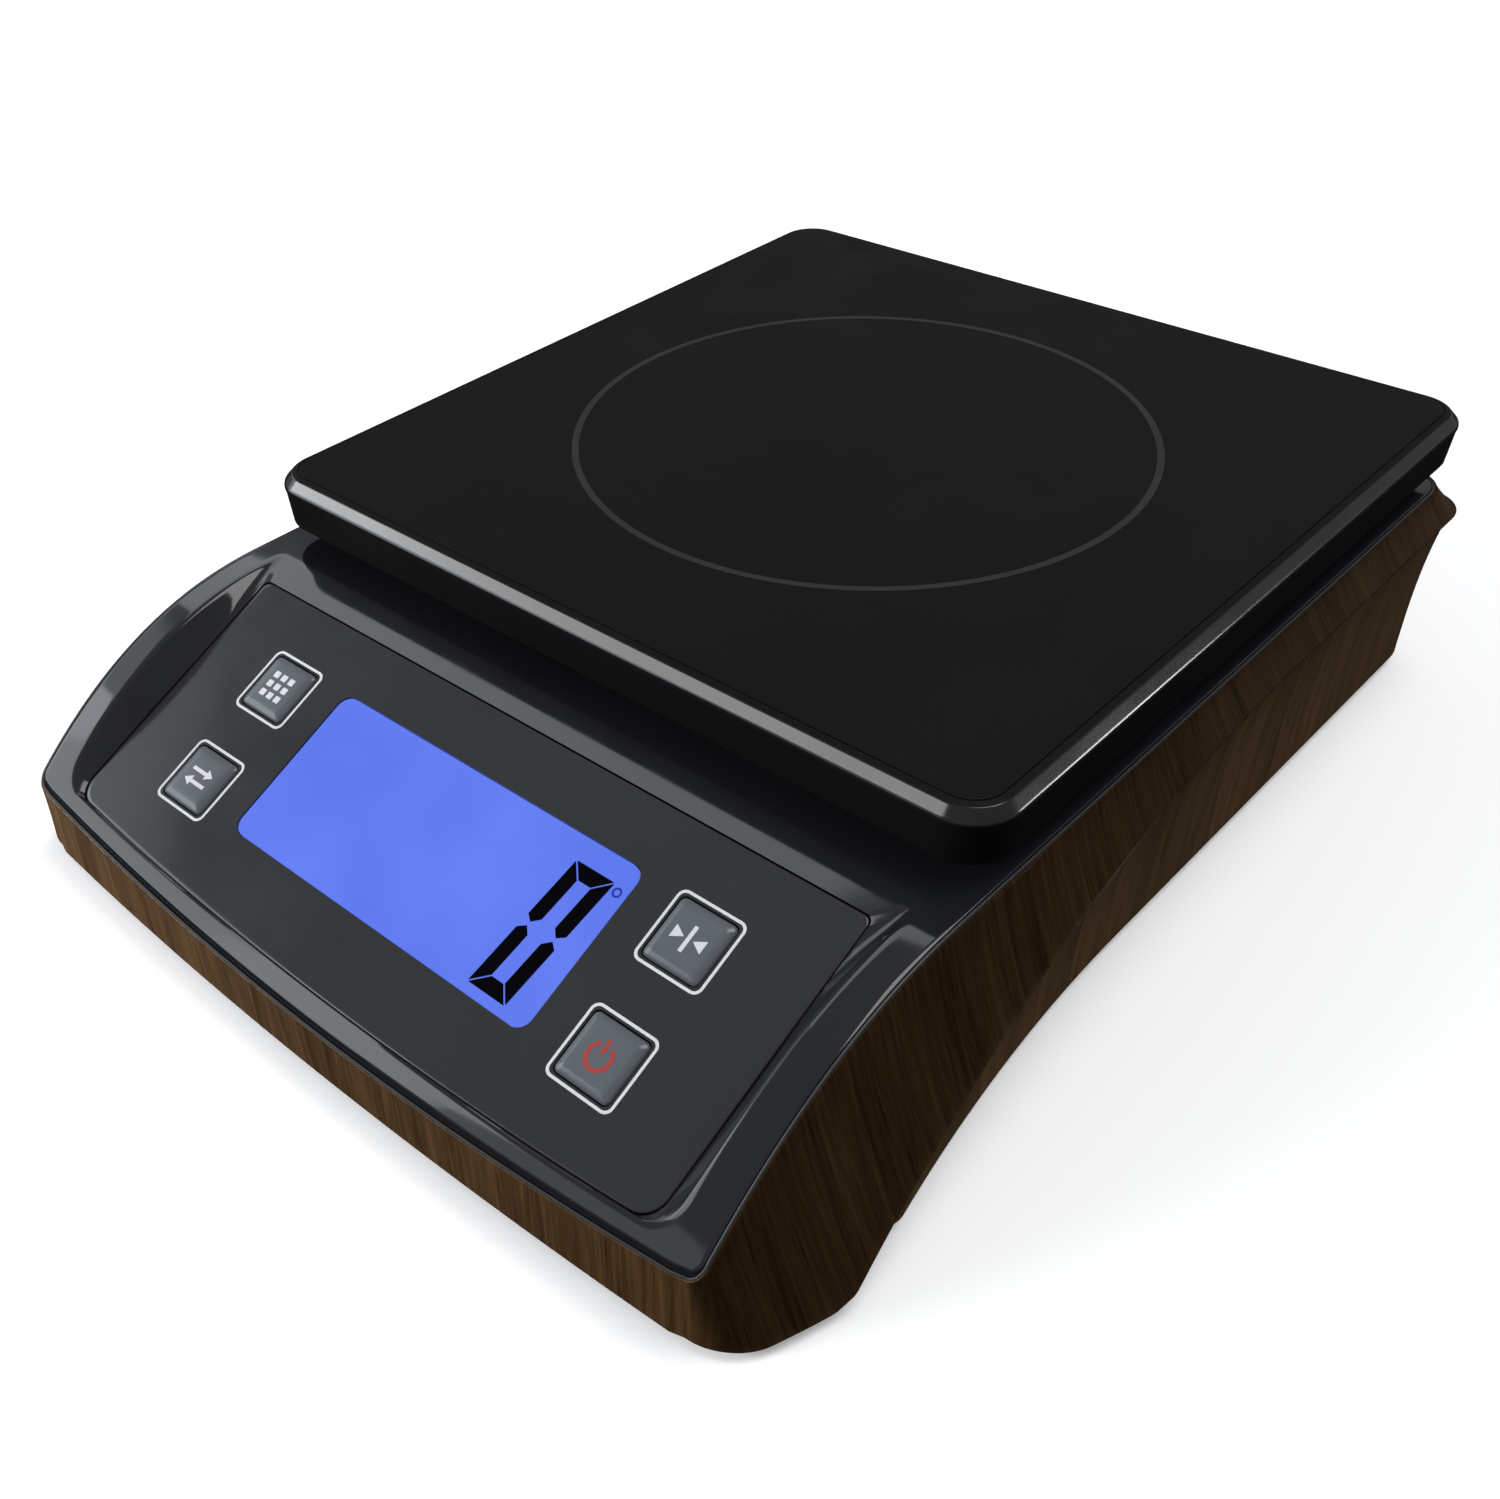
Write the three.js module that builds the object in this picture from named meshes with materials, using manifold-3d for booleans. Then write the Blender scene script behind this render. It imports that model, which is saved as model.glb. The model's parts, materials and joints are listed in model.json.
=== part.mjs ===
// Compact counting scale: a platform on a load cell inside a swept, wood-look casing, with a
// tilted display panel and four keys at the front.
// Millimetres. +X is right, +Y is back, +Z is up. The origin is on the floor under the middle.
import * as THREE from 'three';
import { mergeVertices } from 'three/addons/utils/BufferGeometryUtils.js';
import Module from 'manifold-3d';

// ---- Driving dimensions ------------------------------------------------------------------
const GAP = 0.3;                       // air between neighbouring pieces

const DECK_HALF_WIDTH = 93;            // the black deck at its side edges
const DECK_REAR = 126.5;
const DECK_TOP = 46;
const DECK_THICKNESS = 2.5;
const DECK_BEND_START = -61.7;         // the deck is flat behind this line
const DECK_BEND_RATE = 2.62e-3;
const DECK_BEND_POWER = 2.22;
const FRONT_EDGE = -130.8;             // middle of the bowed front edge
const FRONT_BOW = 3.9;                 // how far the bow falls back at the side edges
const FRONT_CORNER = 3;
const LIP_FRONT_CORNER = 8;            // the skirt's corner grows rounder towards its lip
const REAR_CORNER = 9;

const CASING_BOTTOM = 2;
const WALL = 2.4;
const LIP_TOP = 39.5;                  // the skirt's lower lip, high at the rear
const LIP_SWEEP_START = 48;            // in front of this line the lip sweeps down to the floor
const LIP_SWEEP_LENGTH = 156;
const LIP_HALF_WIDTH = 97.5;
const LIP_REAR_SPREAD = 4.3;
const HIP_HALF_WIDTH = 106;            // the skirt's widest point, low down near the front
const HIP_Y = -104;
const FRONT_FOOT_HALF_WIDTH = 98;
const FRONT_FOOT_Y = -127;
const FOOT_HALF_WIDTH = 94.2;          // the lower shell where it meets the floor
const FLOOR_THICKNESS = 2.5;

const PLATE_HALF_WIDTH = 92.8;
const PLATE_FRONT = -57.5;
const PLATE_REAR = 130.5;
const PLATE_TOP = 62.5;
const PLATE_HEIGHT = 12;
const PLATE_SKIN = 3;
const PLATE_CORNER = 10;
const PLATE_Y = (PLATE_FRONT + PLATE_REAR) / 2;
const PLATE_HALF_DEPTH = (PLATE_REAR - PLATE_FRONT) / 2;

const PANEL_TILT = THREE.MathUtils.degToRad(25);
const PANEL_REAR = -69.5;              // rear edge of the sloping panel face
const PANEL_REAR_HEIGHT = 44.9;
const PANEL_HALF_WIDTH = 80.6;
const PANEL_LENGTH = 62.9;             // down the slope, at the middle of its bowed front
const PANEL_CORNER = 5;                // at the front; the rear corners are nearly square
const PANEL_REAR_CORNER = 1.8;
const PANEL_THICKNESS = 1.2;
const PAN_FLOOR_TOP = -1.5;            // heights above the panel face, square to it
const PAN_FLOOR_BOTTOM = -3.5;
const BEZEL_HALF_WIDTH = 85.2;
const BEZEL_REAR = -61.2;
const BEZEL_FRONT = -127.3;
const BEZEL_NARROWING = 1;             // the bezel's side walls are this much narrower in front

const LCD_WIDTH = 81.8;
const LCD_HEIGHT = 35;
const LCD_Y = -29.9;                   // down the slope from the panel's rear edge
const KEY_X = 56.2;
const KEY_ROWS = { rear: -18.9, front: -43.1 };
const KEY_SIZE = 12.4;
const KEY_PROUD = 0.9;
const KEY_FLANGE = 15;
const BOARD_TOP = -10.6;

const CELL = { x: 62, y0: 26, y1: 48, z0: 12, z1: 34 };
const POST_X = [44, 58];               // the screws at the cell's moving end
const BASE_X = [-55, -43];             // the screws at its fixed end
const LOAD_Y = 37;
const CELL_SCREW_RADIUS = 3;
const CELL_SCREW_HEAD = 5;
const SPIDER_Z = [51, 54];
const ARM_WIDTH = 16;
const PAD_REACH = 66;
const PAD_RADIUS = 6.2;
const COLLAR = { inner: 6.9, outer: 8.8, height: 3 };
const STOP_REACH = 50;
const STOP_HEAD = 4;
const STOP_THREAD = 2;

const BAY = { x: 30.2, y0: -82.2, y1: -27.8, top: 19.7, wall: 1.8 };
const BATTERY_RADIUS = 7.1;
const BATTERY_PITCH = 14.8;
const BATTERY_Z = 11.8;
const DOOR_THICKNESS = 1.8;

const CASING_SCREWS = [
  { name: 'front_left', x: -74, y: -98, split: 15.8, top: 26 },
  { name: 'front_right', x: 74, y: -98, split: 15.8, top: 26 },
  { name: 'rear_left', x: -82, y: 110, split: 21.8, top: 36 },
  { name: 'rear_right', x: 82, y: 110, split: 21.8, top: 36 },
];
const BOSS_RADIUS = 4.2;
const SCREW_RADIUS = 1.5;
const SCREW_HEAD_RADIUS = 3;
const SCREW_HEAD = [5.6, 8];

const FOOT_RADIUS = 7;
const FEET = [[-82, -78], [82, -78], [-80, 88], [80, 88]];
const JACK = { x: -42, z: 20, bore: 3.2, pin: 1, barrel: 4.4, body: 5, face: 128.6 };
const BOARD = { x0: -72, x1: -16, y0: 60, y1: 104, z: 10 };
const BOARD_THICKNESS = 1.6;
const STANDOFFS = [[-70, 63.5], [-18, 63.5], [-70, 100.5], [-18, 100.5]];
const STANDOFF_RADIUS = 3;

// ---- Materials ---------------------------------------------------------------------------
const finish = (color, roughness, metalness = 0) =>
  new THREE.MeshStandardMaterial({ color, roughness, metalness });
const MATERIAL = {
  platform: finish(0x1b1b1c, 0.45),
  deck: finish(0x0c0c0e, 0.12),
  wood: finish(0x3a2515, 0.5),
  lowerWood: finish(0x4a3320, 0.5),
  panel: finish(0x3c3d41, 0.15),
  display: finish(0x6478ff, 0.2),
  key: finish(0x5b6068, 0.3),
  aluminium: finish(0xb9bcc0, 0.35, 1),
  steel: finish(0x9a9da1, 0.3, 1),
  rubber: finish(0x151515, 0.9),
  board: finish(0x1f5a33, 0.5),
  plastic: finish(0x202022, 0.6),
  white: finish(0xe8e8e8, 0.5),
  battery: finish(0xa8782e, 0.35, 0.6),
  cable: finish(0x8a8a8a, 0.6),
};

// ---- Solids ------------------------------------------------------------------------------
const wasm = await Module();
wasm.setup();

function toSolid(geometry) {
  const bare = geometry.clone();
  bare.deleteAttribute('normal');
  bare.deleteAttribute('uv');
  const merged = mergeVertices(bare, 1e-4);
  return new wasm.Manifold(new wasm.Mesh({
    numProp: 3,
    vertProperties: new Float32Array(merged.attributes.position.array),
    triVerts: new Uint32Array(merged.index.array),
  }));
}

function toGeometry(solid) {
  const mesh = solid.getMesh();
  const geometry = new THREE.BufferGeometry();
  geometry.setAttribute('position', new THREE.BufferAttribute(mesh.vertProperties, 3));
  geometry.setIndex(new THREE.BufferAttribute(mesh.triVerts, 1));
  geometry.computeVertexNormals();
  return geometry;
}

const combine = (method) => (first, ...rest) =>
  toGeometry(rest.reduce((solid, geometry) => solid[method](toSolid(geometry)), toSolid(first)));
const join = combine('add');
const cut = combine('subtract');
const common = combine('intersect');

function box(x0, x1, y0, y1, z0, z1) {
  return new THREE.BoxGeometry(x1 - x0, y1 - y0, z1 - z0)
    .translate((x0 + x1) / 2, (y0 + y1) / 2, (z0 + z1) / 2);
}

function post(radius, z0, z1, x = 0, y = 0, sides = 24) {
  return new THREE.CylinderGeometry(radius, radius, z1 - z0, sides)
    .rotateX(Math.PI / 2).translate(x, y, (z0 + z1) / 2);
}

// A rod along Y.
function rod(radius, y0, y1, x, z, sides = 24) {
  return new THREE.CylinderGeometry(radius, radius, y1 - y0, sides).translate(x, (y0 + y1) / 2, z);
}

function prism(points, z0, z1) {
  const shape = new THREE.Shape(points.map(([x, y]) => new THREE.Vector2(x, y)));
  return new THREE.ExtrudeGeometry(shape, { depth: z1 - z0, bevelEnabled: false }).translate(0, 0, z0);
}

// Skin over a stack of equal rings. A capped stack ends in a fan at each end; an open stack
// closes on itself like a tyre.
function loft(rings, capped) {
  const count = rings[0].length;
  const positions = rings.flat(2);
  const index = [];
  const bands = capped ? rings.length - 1 : rings.length;
  for (let band = 0; band < bands; band += 1) {
    const low = band * count;
    const high = ((band + 1) % rings.length) * count;
    for (let k = 0; k < count; k += 1) {
      const next = (k + 1) % count;
      index.push(low + k, low + next, high + next, low + k, high + next, high + k);
    }
  }
  if (capped) {
    for (const [ring, turned] of [[0, true], [rings.length - 1, false]]) {
      const centre = positions.length / 3;
      const sum = rings[ring].reduce((total, p) => total.map((t, axis) => t + p[axis]), [0, 0, 0]);
      positions.push(...sum.map((t) => t / count));
      for (let k = 0; k < count; k += 1) {
        const a = ring * count + k;
        const b = ring * count + ((k + 1) % count);
        index.push(...(turned ? [centre, b, a] : [centre, a, b]));
      }
    }
  }
  const geometry = new THREE.BufferGeometry();
  geometry.setAttribute('position', new THREE.Float32BufferAttribute(positions, 3));
  geometry.setIndex(index);
  return geometry;
}

// ---- Outlines ----------------------------------------------------------------------------
const clamp = THREE.MathUtils.clamp;
const mix = THREE.MathUtils.lerp;
const ease = THREE.MathUtils.smoothstep;

function arc(cx, cy, radius, from, to, steps) {
  return Array.from({ length: steps + 1 }, (_, k) => {
    const angle = THREE.MathUtils.degToRad(mix(from, to, k / steps));
    return [cx + radius * Math.cos(angle), cy + radius * Math.sin(angle)];
  });
}

function roundedRectangle(halfWidth, halfDepth, radius, cy = 0, steps = 5) {
  const x = halfWidth - radius;
  const y = halfDepth - radius;
  return [
    ...arc(x, cy - y, radius, -90, 0, steps), ...arc(x, cy + y, radius, 0, 90, steps),
    ...arc(-x, cy + y, radius, 90, 180, steps), ...arc(-x, cy - y, radius, 180, 270, steps),
  ];
}

const mirrored = (half) =>
  [...half, ...half.slice(1, -1).reverse().map(([x, y]) => [-x, y])];

// Moves a closed outline inwards, square to itself.
function inset(points, distance) {
  return points.map(([x, y], k) => {
    const [ax, ay] = points[(k + points.length - 1) % points.length];
    const [bx, by] = points[(k + 1) % points.length];
    const length = Math.hypot(bx - ax, by - ay);
    return [x - distance * (by - ay) / length, y + distance * (bx - ax) / length];
  });
}

const deckHeight = (y) =>
  DECK_TOP - DECK_BEND_RATE * Math.max(0, DECK_BEND_START - y) ** DECK_BEND_POWER;
const frontEdge = (x) => FRONT_EDGE + FRONT_BOW * (x / DECK_HALF_WIDTH) ** 2;

// The deck's edge seen from above, anticlockwise from the middle of the front.
function deckOutline(corner) {
  const half = [];
  const frontX = DECK_HALF_WIDTH - corner;
  const cornerY = frontEdge(DECK_HALF_WIDTH) + corner;
  const FRONT_STEPS = 7;
  for (let k = 0; k < FRONT_STEPS; k += 1) {
    const x = frontX * k / FRONT_STEPS;
    half.push([x, frontEdge(x)]);
  }
  half.push(...arc(frontX, cornerY, corner, -88, 0, 4));
  const rearY = DECK_REAR - REAR_CORNER;
  const SIDE_STEPS = 18;
  for (let k = 1; k < SIDE_STEPS; k += 1) {
    half.push([DECK_HALF_WIDTH, mix(cornerY, rearY, (k / SIDE_STEPS) ** 1.25)]);
  }
  half.push(...arc(DECK_HALF_WIDTH - REAR_CORNER, rearY, REAR_CORNER, 0, 90, 5));
  half.push([0, DECK_REAR]);
  return mirrored(half);
}
const DECK_EDGE = deckOutline(FRONT_CORNER);
const LIP_EDGE = deckOutline(LIP_FRONT_CORNER);

function lipHeight(y) {
  const sweep = clamp((LIP_SWEEP_START - y) / LIP_SWEEP_LENGTH, 0, 1);
  return LIP_TOP - (LIP_TOP - CASING_BOTTOM) * sweep ** 2;
}

function lipHalfWidth(y) {
  if (y < HIP_Y) {
    const past = clamp((HIP_Y - y) / (HIP_Y - FRONT_FOOT_Y), 0, 1);
    return mix(HIP_HALF_WIDTH, FRONT_FOOT_HALF_WIDTH, past ** 1.15);
  }
  const flare = Math.max(0, (LIP_SWEEP_START - y) / (LIP_SWEEP_START - HIP_Y)) ** 2.5;
  return mix(LIP_HALF_WIDTH, HIP_HALF_WIDTH, flare);
}

// ---- Casing ------------------------------------------------------------------------------
// One ring of the skirt: share 0 is the deck's edge, share 1 the lower lip.
function skirtRing(share, inward, drop = 0) {
  const spread = share ** 1.2;
  const edge = DECK_EDGE.map((top, k) => top.map((t, axis) => mix(t, LIP_EDGE[k][axis], share)));
  const plan = edge.map(([x, y]) => [
    x * mix(1, lipHalfWidth(y) / DECK_HALF_WIDTH, spread),
    y + LIP_REAR_SPREAD * spread * ease(y, 100, DECK_REAR),
  ]);
  return inset(plan, inward).map(([x, y], k) => {
    const along = edge[k][1];
    return [x, y, mix(deckHeight(along), lipHeight(along), share) - drop];
  });
}

function sideCasing() {
  const ledge = DECK_THICKNESS + 0.4;
  const rim = 0.9;
  return loft([
    skirtRing(0, rim), skirtRing(0, rim, ledge), skirtRing(0, WALL, ledge),
    skirtRing(0.6, WALL), skirtRing(1, WALL),
    ...[1, 0.8, 0.6, 0.35, 0.15, 0].map((share) => skirtRing(share, 0)),
  ], false);
}

// How far the lower shell has slipped in behind the skirt: 0 behind the hip, 1 in front of it.
const tucked = (y) => 1 - ease(y, -98, -86);
const TUCK = 6.5;

function footHalfWidth(y) {
  const flare = Math.max(0, (-5 - y) / (-5 - HIP_Y)) ** 2;
  const behind = mix(FOOT_HALF_WIDTH, HIP_HALF_WIDTH, Math.min(flare, 1));
  return mix(behind, lipHalfWidth(y) - TUCK, tucked(y));
}

// One ring of the lower shell: share 0 is the foot, share 1 the rim under the skirt's lip.
function shellRing(share, inward, height) {
  const cove = share ** 3;
  const plan = LIP_EDGE.map(([x, y]) => {
    const rimHalfWidth = lipHalfWidth(y) - mix(1.2, TUCK, tucked(y));
    const halfWidth = mix(footHalfWidth(y), rimHalfWidth, cove);
    const front = 3.6 * (1 - ease(y, -125, -112));
    const rear = mix(1.3, LIP_REAR_SPREAD - 1.2, cove) * ease(y, 100, DECK_REAR);
    return [x * halfWidth / DECK_HALF_WIDTH, y + front + rear];
  });
  return inset(plan, inward).map(([x, y], k) => {
    const rim = Math.max(lipHeight(LIP_EDGE[k][1]), 8) - 0.4;
    return [x, y, height ?? mix(CASING_BOTTOM + 1.2, rim, share)];
  });
}

const shellTray = () => loft([
  shellRing(0, 1.2, CASING_BOTTOM),
  ...[0, 0.3, 0.55, 0.75, 0.9, 1].map((share) => shellRing(share, 0)),
  ...[1, 0.75, 0.35].map((share) => shellRing(share, WALL)),
  shellRing(0, WALL, CASING_BOTTOM + FLOOR_THICKNESS),
], true);

const BASE_PAD = { x0: -64, x1: -34, y0: 23, y1: 51, top: 8 };
const cellScrewHole = (z0, z1, x) => post(CELL_SCREW_RADIUS + GAP, z0, z1, x, LOAD_Y);

function lowerShell() {
  const floor = CASING_BOTTOM + FLOOR_THICKNESS;
  const { x, y0, y1, top, wall } = BAY;
  const solid = join(
    shellTray(),
    box(-x - wall, x + wall, y0 - wall, y1 + wall, CASING_BOTTOM + 0.1, top + wall),
    box(BASE_PAD.x0, BASE_PAD.x1, BASE_PAD.y0, BASE_PAD.y1, CASING_BOTTOM + 0.1, BASE_PAD.top),
    box(
      JACK.x - JACK.body, JACK.x + JACK.body, 109, 122,
      CASING_BOTTOM + 0.1, JACK.z - JACK.body - 1,
    ),
    ...CASING_SCREWS.map((s) => post(BOSS_RADIUS, CASING_BOTTOM + 0.1, s.split - 0.2, s.x, s.y)),
    ...STANDOFFS.map(([cx, cy]) => post(STANDOFF_RADIUS, floor - 1, BOARD.z - GAP, cx, cy, 16)),
  );
  return cut(
    solid,
    box(-x, x, y0, y1, 0, top),
    rod(JACK.barrel + GAP, 122, 140, JACK.x, JACK.z),
    ...FEET.map(([fx, fy]) => post(FOOT_RADIUS + GAP, 0, CASING_BOTTOM + 1, fx, fy)),
    ...CASING_SCREWS.flatMap((s) => [
      post(SCREW_HEAD_RADIUS + GAP, 0, SCREW_HEAD[1] + GAP, s.x, s.y),
      post(SCREW_RADIUS + GAP, 0, 40, s.x, s.y),
    ]),
    ...BASE_X.flatMap((bx) => [
      cellScrewHole(0, 12, bx), post(CELL_SCREW_HEAD + GAP, 0, BASE_PAD.top - 2.1, bx, LOAD_Y),
    ]),
  );
}

// ---- Panel frame -------------------------------------------------------------------------
// Panel pieces are drawn flat: x to the right, y up the slope from the panel's rear edge, so
// all of the panel lies at negative y, and z square to its face.
const PANEL_FRAME = new THREE.Matrix4().makeRotationX(PANEL_TILT)
  .setPosition(0, PANEL_REAR, PANEL_REAR_HEIGHT);
const onPanel = (geometry) => geometry.applyMatrix4(PANEL_FRAME);

function panelOutline(margin, steps = 4) {
  const halfWidth = PANEL_HALF_WIDTH - margin;
  const radius = PANEL_CORNER;
  const bow = FRONT_BOW / Math.cos(PANEL_TILT);
  const front = (x) => -PANEL_LENGTH + margin + bow * (x / DECK_HALF_WIDTH) ** 2;
  const cornerX = halfWidth - radius;
  const half = [0, 0.25, 0.5, 0.75].map((share) => [cornerX * share, front(cornerX * share)]);
  half.push(...arc(cornerX, front(cornerX) + radius, radius, -86, 0, steps));
  const rear = PANEL_REAR_CORNER;
  half.push(...arc(halfWidth - rear, -margin - rear, rear, 0, 90, steps));
  half.push([0, -margin]);
  return mirrored(half);
}

// The sloped bezel between the panel's edge and the deck, as the solid to take away.
function recess() {
  const floorEdge = panelOutline(-GAP);
  const place = ([x, y], z) => new THREE.Vector3(x, y, z).applyMatrix4(PANEL_FRAME).toArray();
  const face = floorEdge.map((p) => place(p, 0));
  const frontmost = Math.min(...face.map((p) => p[1]));
  const outer = face.map(([x, y, z]) => {
    const share = (y - frontmost) / (PANEL_REAR + GAP - frontmost);
    const halfWidth = BEZEL_HALF_WIDTH - BEZEL_NARROWING * (1 - share);
    const edge = [x * halfWidth / PANEL_HALF_WIDTH, mix(BEZEL_FRONT, BEZEL_REAR, share)];
    const past = 1.3;
    return [mix(x, edge[0], past), mix(y, edge[1], past), mix(z, deckHeight(edge[1]), past)];
  });
  return loft([
    floorEdge.map((p) => place(p, PAN_FLOOR_TOP)), face, outer,
    outer.map(([x, y]) => [x, y, DECK_TOP + 20]),
  ], true);
}

const lcdWindow = (grow, z0, z1) => box(
  -LCD_WIDTH / 2 - grow, LCD_WIDTH / 2 + grow,
  LCD_Y - LCD_HEIGHT / 2 - grow, LCD_Y + LCD_HEIGHT / 2 + grow, z0, z1,
);

const KEYS = Object.entries(KEY_ROWS).flatMap(([row, y]) =>
  [['left', -KEY_X], ['right', KEY_X]].map(([side, x]) => ({ name: `${row}_${side}`, x, y })));

const keyOpenings = (z0, z1) => KEYS.map(({ x, y }) => {
  const half = KEY_SIZE / 2 + GAP;
  return box(x - half, x + half, y - half, y + half, z0, z1);
});

// ---- Top cover ---------------------------------------------------------------------------
// A band under the deck's surface, as deep as asked, all the way across.
function underDeck(depth) {
  const stops = Array.from({ length: 19 }, (_, k) => mix(-134, DECK_BEND_START, k / 18));
  const line = [...stops, DECK_REAR + 4];
  const shape = new THREE.Shape([
    ...line.map((y) => new THREE.Vector2(y, deckHeight(y))),
    ...line.reverse().map((y) => new THREE.Vector2(y, deckHeight(y) - depth)),
  ]);
  const width = 2 * DECK_HALF_WIDTH + 10;
  const turn = new THREE.Matrix4().makeBasis(
    new THREE.Vector3(0, 1, 0), new THREE.Vector3(0, 0, 1), new THREE.Vector3(1, 0, 0),
  );
  return new THREE.ExtrudeGeometry(shape, { depth: width, bevelEnabled: false })
    .translate(0, 0, -width / 2).applyMatrix4(turn);
}

function topCover() {
  const slab = common(underDeck(DECK_THICKNESS), prism(inset(DECK_EDGE, 1.2), 0, 60));
  const panBlock = onPanel(box(-86, 86, -70, 9, PAN_FLOOR_BOTTOM, 20));
  const pan = common(panBlock, underDeck(40), prism(inset(DECK_EDGE, 2.8), 0, 60));
  const bosses = CASING_SCREWS.map((s) => post(BOSS_RADIUS, s.split + 0.1, s.top + 3, s.x, s.y));
  const rearBosses = CASING_SCREWS.filter((s) => s.y > 0)
    .map((s) => post(BOSS_RADIUS, s.top, DECK_TOP - 1, s.x, s.y));
  return cut(
    join(slab, pan, ...bosses, ...rearBosses),
    recess(),
    onPanel(lcdWindow(-1.5, -6, 1)),
    ...keyOpenings(-6, 1).map(onPanel),
    box(POST_X[0] - 9, POST_X[1] + 9, LOAD_Y - 13, LOAD_Y + 13, 40, 50),
    ...CASING_SCREWS.map((s) => post(SCREW_RADIUS + GAP, 0, s.top + 0.8, s.x, s.y)),
    ...atCorners(STOP_REACH).map(({ x, y }) => post(STOP_THREAD + GAP, 40, 50, x, y)),
  );
}

// ---- Display and keys, drawn flat --------------------------------------------------------
const displayPanel = () => cut(
  prism(panelOutline(0), -PANEL_THICKNESS, 0),
  lcdWindow(GAP, -5, 1),
  ...keyOpenings(-5, 1),
);

const lcdGlass = () => lcdWindow(0, -PANEL_THICKNESS, -0.15);
const lcdCell = () => lcdWindow(1, PAN_FLOOR_BOTTOM - 3, PAN_FLOOR_BOTTOM - GAP);
const backlight = () => lcdWindow(1, BOARD_TOP + GAP, PAN_FLOOR_BOTTOM - 3.3);

function displayBoard() {
  const chip = box(-6, 6, LCD_Y - 6, LCD_Y + 6, BOARD_TOP - 3, BOARD_TOP - 1);
  const header = box(-34, -14, -8, -4, BOARD_TOP - 5, BOARD_TOP - 1);
  return join(box(-66, 66, -54, -3, BOARD_TOP - BOARD_THICKNESS, BOARD_TOP), chip, header);
}

const square = (half, z) => [[-half, -half, z], [half, -half, z], [half, half, z], [-half, half, z]];

function keyCap() {
  const half = KEY_SIZE / 2;
  const flange = KEY_FLANGE / 2;
  const flangeTop = PAN_FLOOR_BOTTOM - GAP;
  return loft([
    square(1.6, flangeTop - 1.5), square(1.6, flangeTop - 1.2),
    square(flange, flangeTop - 1.2), square(flange, flangeTop),
    square(half, flangeTop), square(half, KEY_PROUD - 0.7), square(half - 1.5, KEY_PROUD),
  ], true);
}

const tactSwitch = () => join(
  box(-3, 3, -3, 3, BOARD_TOP + GAP, BOARD_TOP + 3.7),
  post(1.7, BOARD_TOP + 3.5, PAN_FLOOR_BOTTOM - GAP - 2.7, 0, 0, 16),
);

// ---- Platform ----------------------------------------------------------------------------
const atCorners = (reach) => ['front_left', 'front_right', 'rear_left', 'rear_right'].map((name) => ({
  name,
  x: reach * (name.endsWith('right') ? 1 : -1),
  y: PLATE_Y + reach * (name.startsWith('rear') ? 1 : -1),
}));

function plateRing(margin, z) {
  return roundedRectangle(
    PLATE_HALF_WIDTH - margin, PLATE_HALF_DEPTH - margin, PLATE_CORNER - margin, PLATE_Y,
  ).map(([x, y]) => [x, y, z]);
}

function weighingPlate() {
  const bottom = PLATE_TOP - PLATE_HEIGHT;
  const ceiling = PLATE_TOP - PLATE_SKIN;
  const tray = loft([
    plateRing(3.8, ceiling), plateRing(4.2, bottom), plateRing(0.9, bottom),
    plateRing(0, PLATE_TOP - 3), plateRing(0.3, PLATE_TOP - 1.5),
    plateRing(1.2, PLATE_TOP - 0.4), plateRing(2.6, PLATE_TOP),
  ], true);
  const rim = ceiling - COLLAR.height;
  const collars = atCorners(PAD_REACH).map(({ x, y }) => cut(
    post(COLLAR.outer, rim, ceiling + 1, x, y), post(COLLAR.inner, rim - 1, ceiling, x, y),
  ));
  return join(tray, ...collars);
}

function spider() {
  const [z0, z1] = SPIDER_Z;
  const reach = PAD_REACH * Math.SQRT2;
  const arm = (turn) => new THREE.BoxGeometry(2 * reach, ARM_WIDTH, z1 - z0)
    .rotateZ(turn).translate(0, PLATE_Y, (z0 + z1) / 2);
  return cut(
    join(
      arm(Math.PI / 4), arm(-Math.PI / 4),
      box(-24, POST_X[1] + 8, LOAD_Y - 20, LOAD_Y + 20, z0, z1),
      ...atCorners(PAD_REACH).map(({ x, y }) => post(10, z0, z1, x, y)),
    ),
    ...POST_X.map((x) => cellScrewHole(40, 60, x)),
  );
}

const spiderPad = ({ x, y }) =>
  post(PAD_RADIUS, SPIDER_Z[1] + GAP, PLATE_TOP - PLATE_SKIN - GAP, x, y);

const overloadStop = ({ x, y }) => join(
  post(STOP_HEAD, DECK_TOP + GAP, SPIDER_Z[0] - 0.8, x, y, 6),
  post(STOP_THREAD, DECK_TOP - 8, DECK_TOP + 1, x, y, 16),
);

function loadCell() {
  const { x, y0, y1, z0, z1 } = CELL;
  const middle = (z0 + z1) / 2;
  return cut(
    box(-x, x, y0, y1, z0, z1),
    rod(7, y0 - 1, y1 + 1, -11, middle), rod(7, y0 - 1, y1 + 1, 11, middle),
    box(-11, 11, y0 - 1, y1 + 1, middle - 1.5, middle + 1.5),
    ...BASE_X.map((bx) => cellScrewHole(z0 - 1, z0 + 12, bx)),
    ...POST_X.map((px) => cellScrewHole(z1 - 12, z1 + 1, px)),
  );
}

const cellBaseBlock = () => cut(
  box(
    BASE_PAD.x0 + 2, BASE_PAD.x1 - 1, CELL.y0 - 1, CELL.y1 + 1,
    BASE_PAD.top + GAP, CELL.z0 - 0.7,
  ),
  ...BASE_X.map((x) => cellScrewHole(0, 20, x)),
);

const cellTopBlock = () => cut(
  box(POST_X[0] - 7, POST_X[1] + 4, CELL.y0, CELL.y1, CELL.z1 + GAP, SPIDER_Z[0] - GAP),
  ...POST_X.map((x) => cellScrewHole(30, 60, x)),
);

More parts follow.
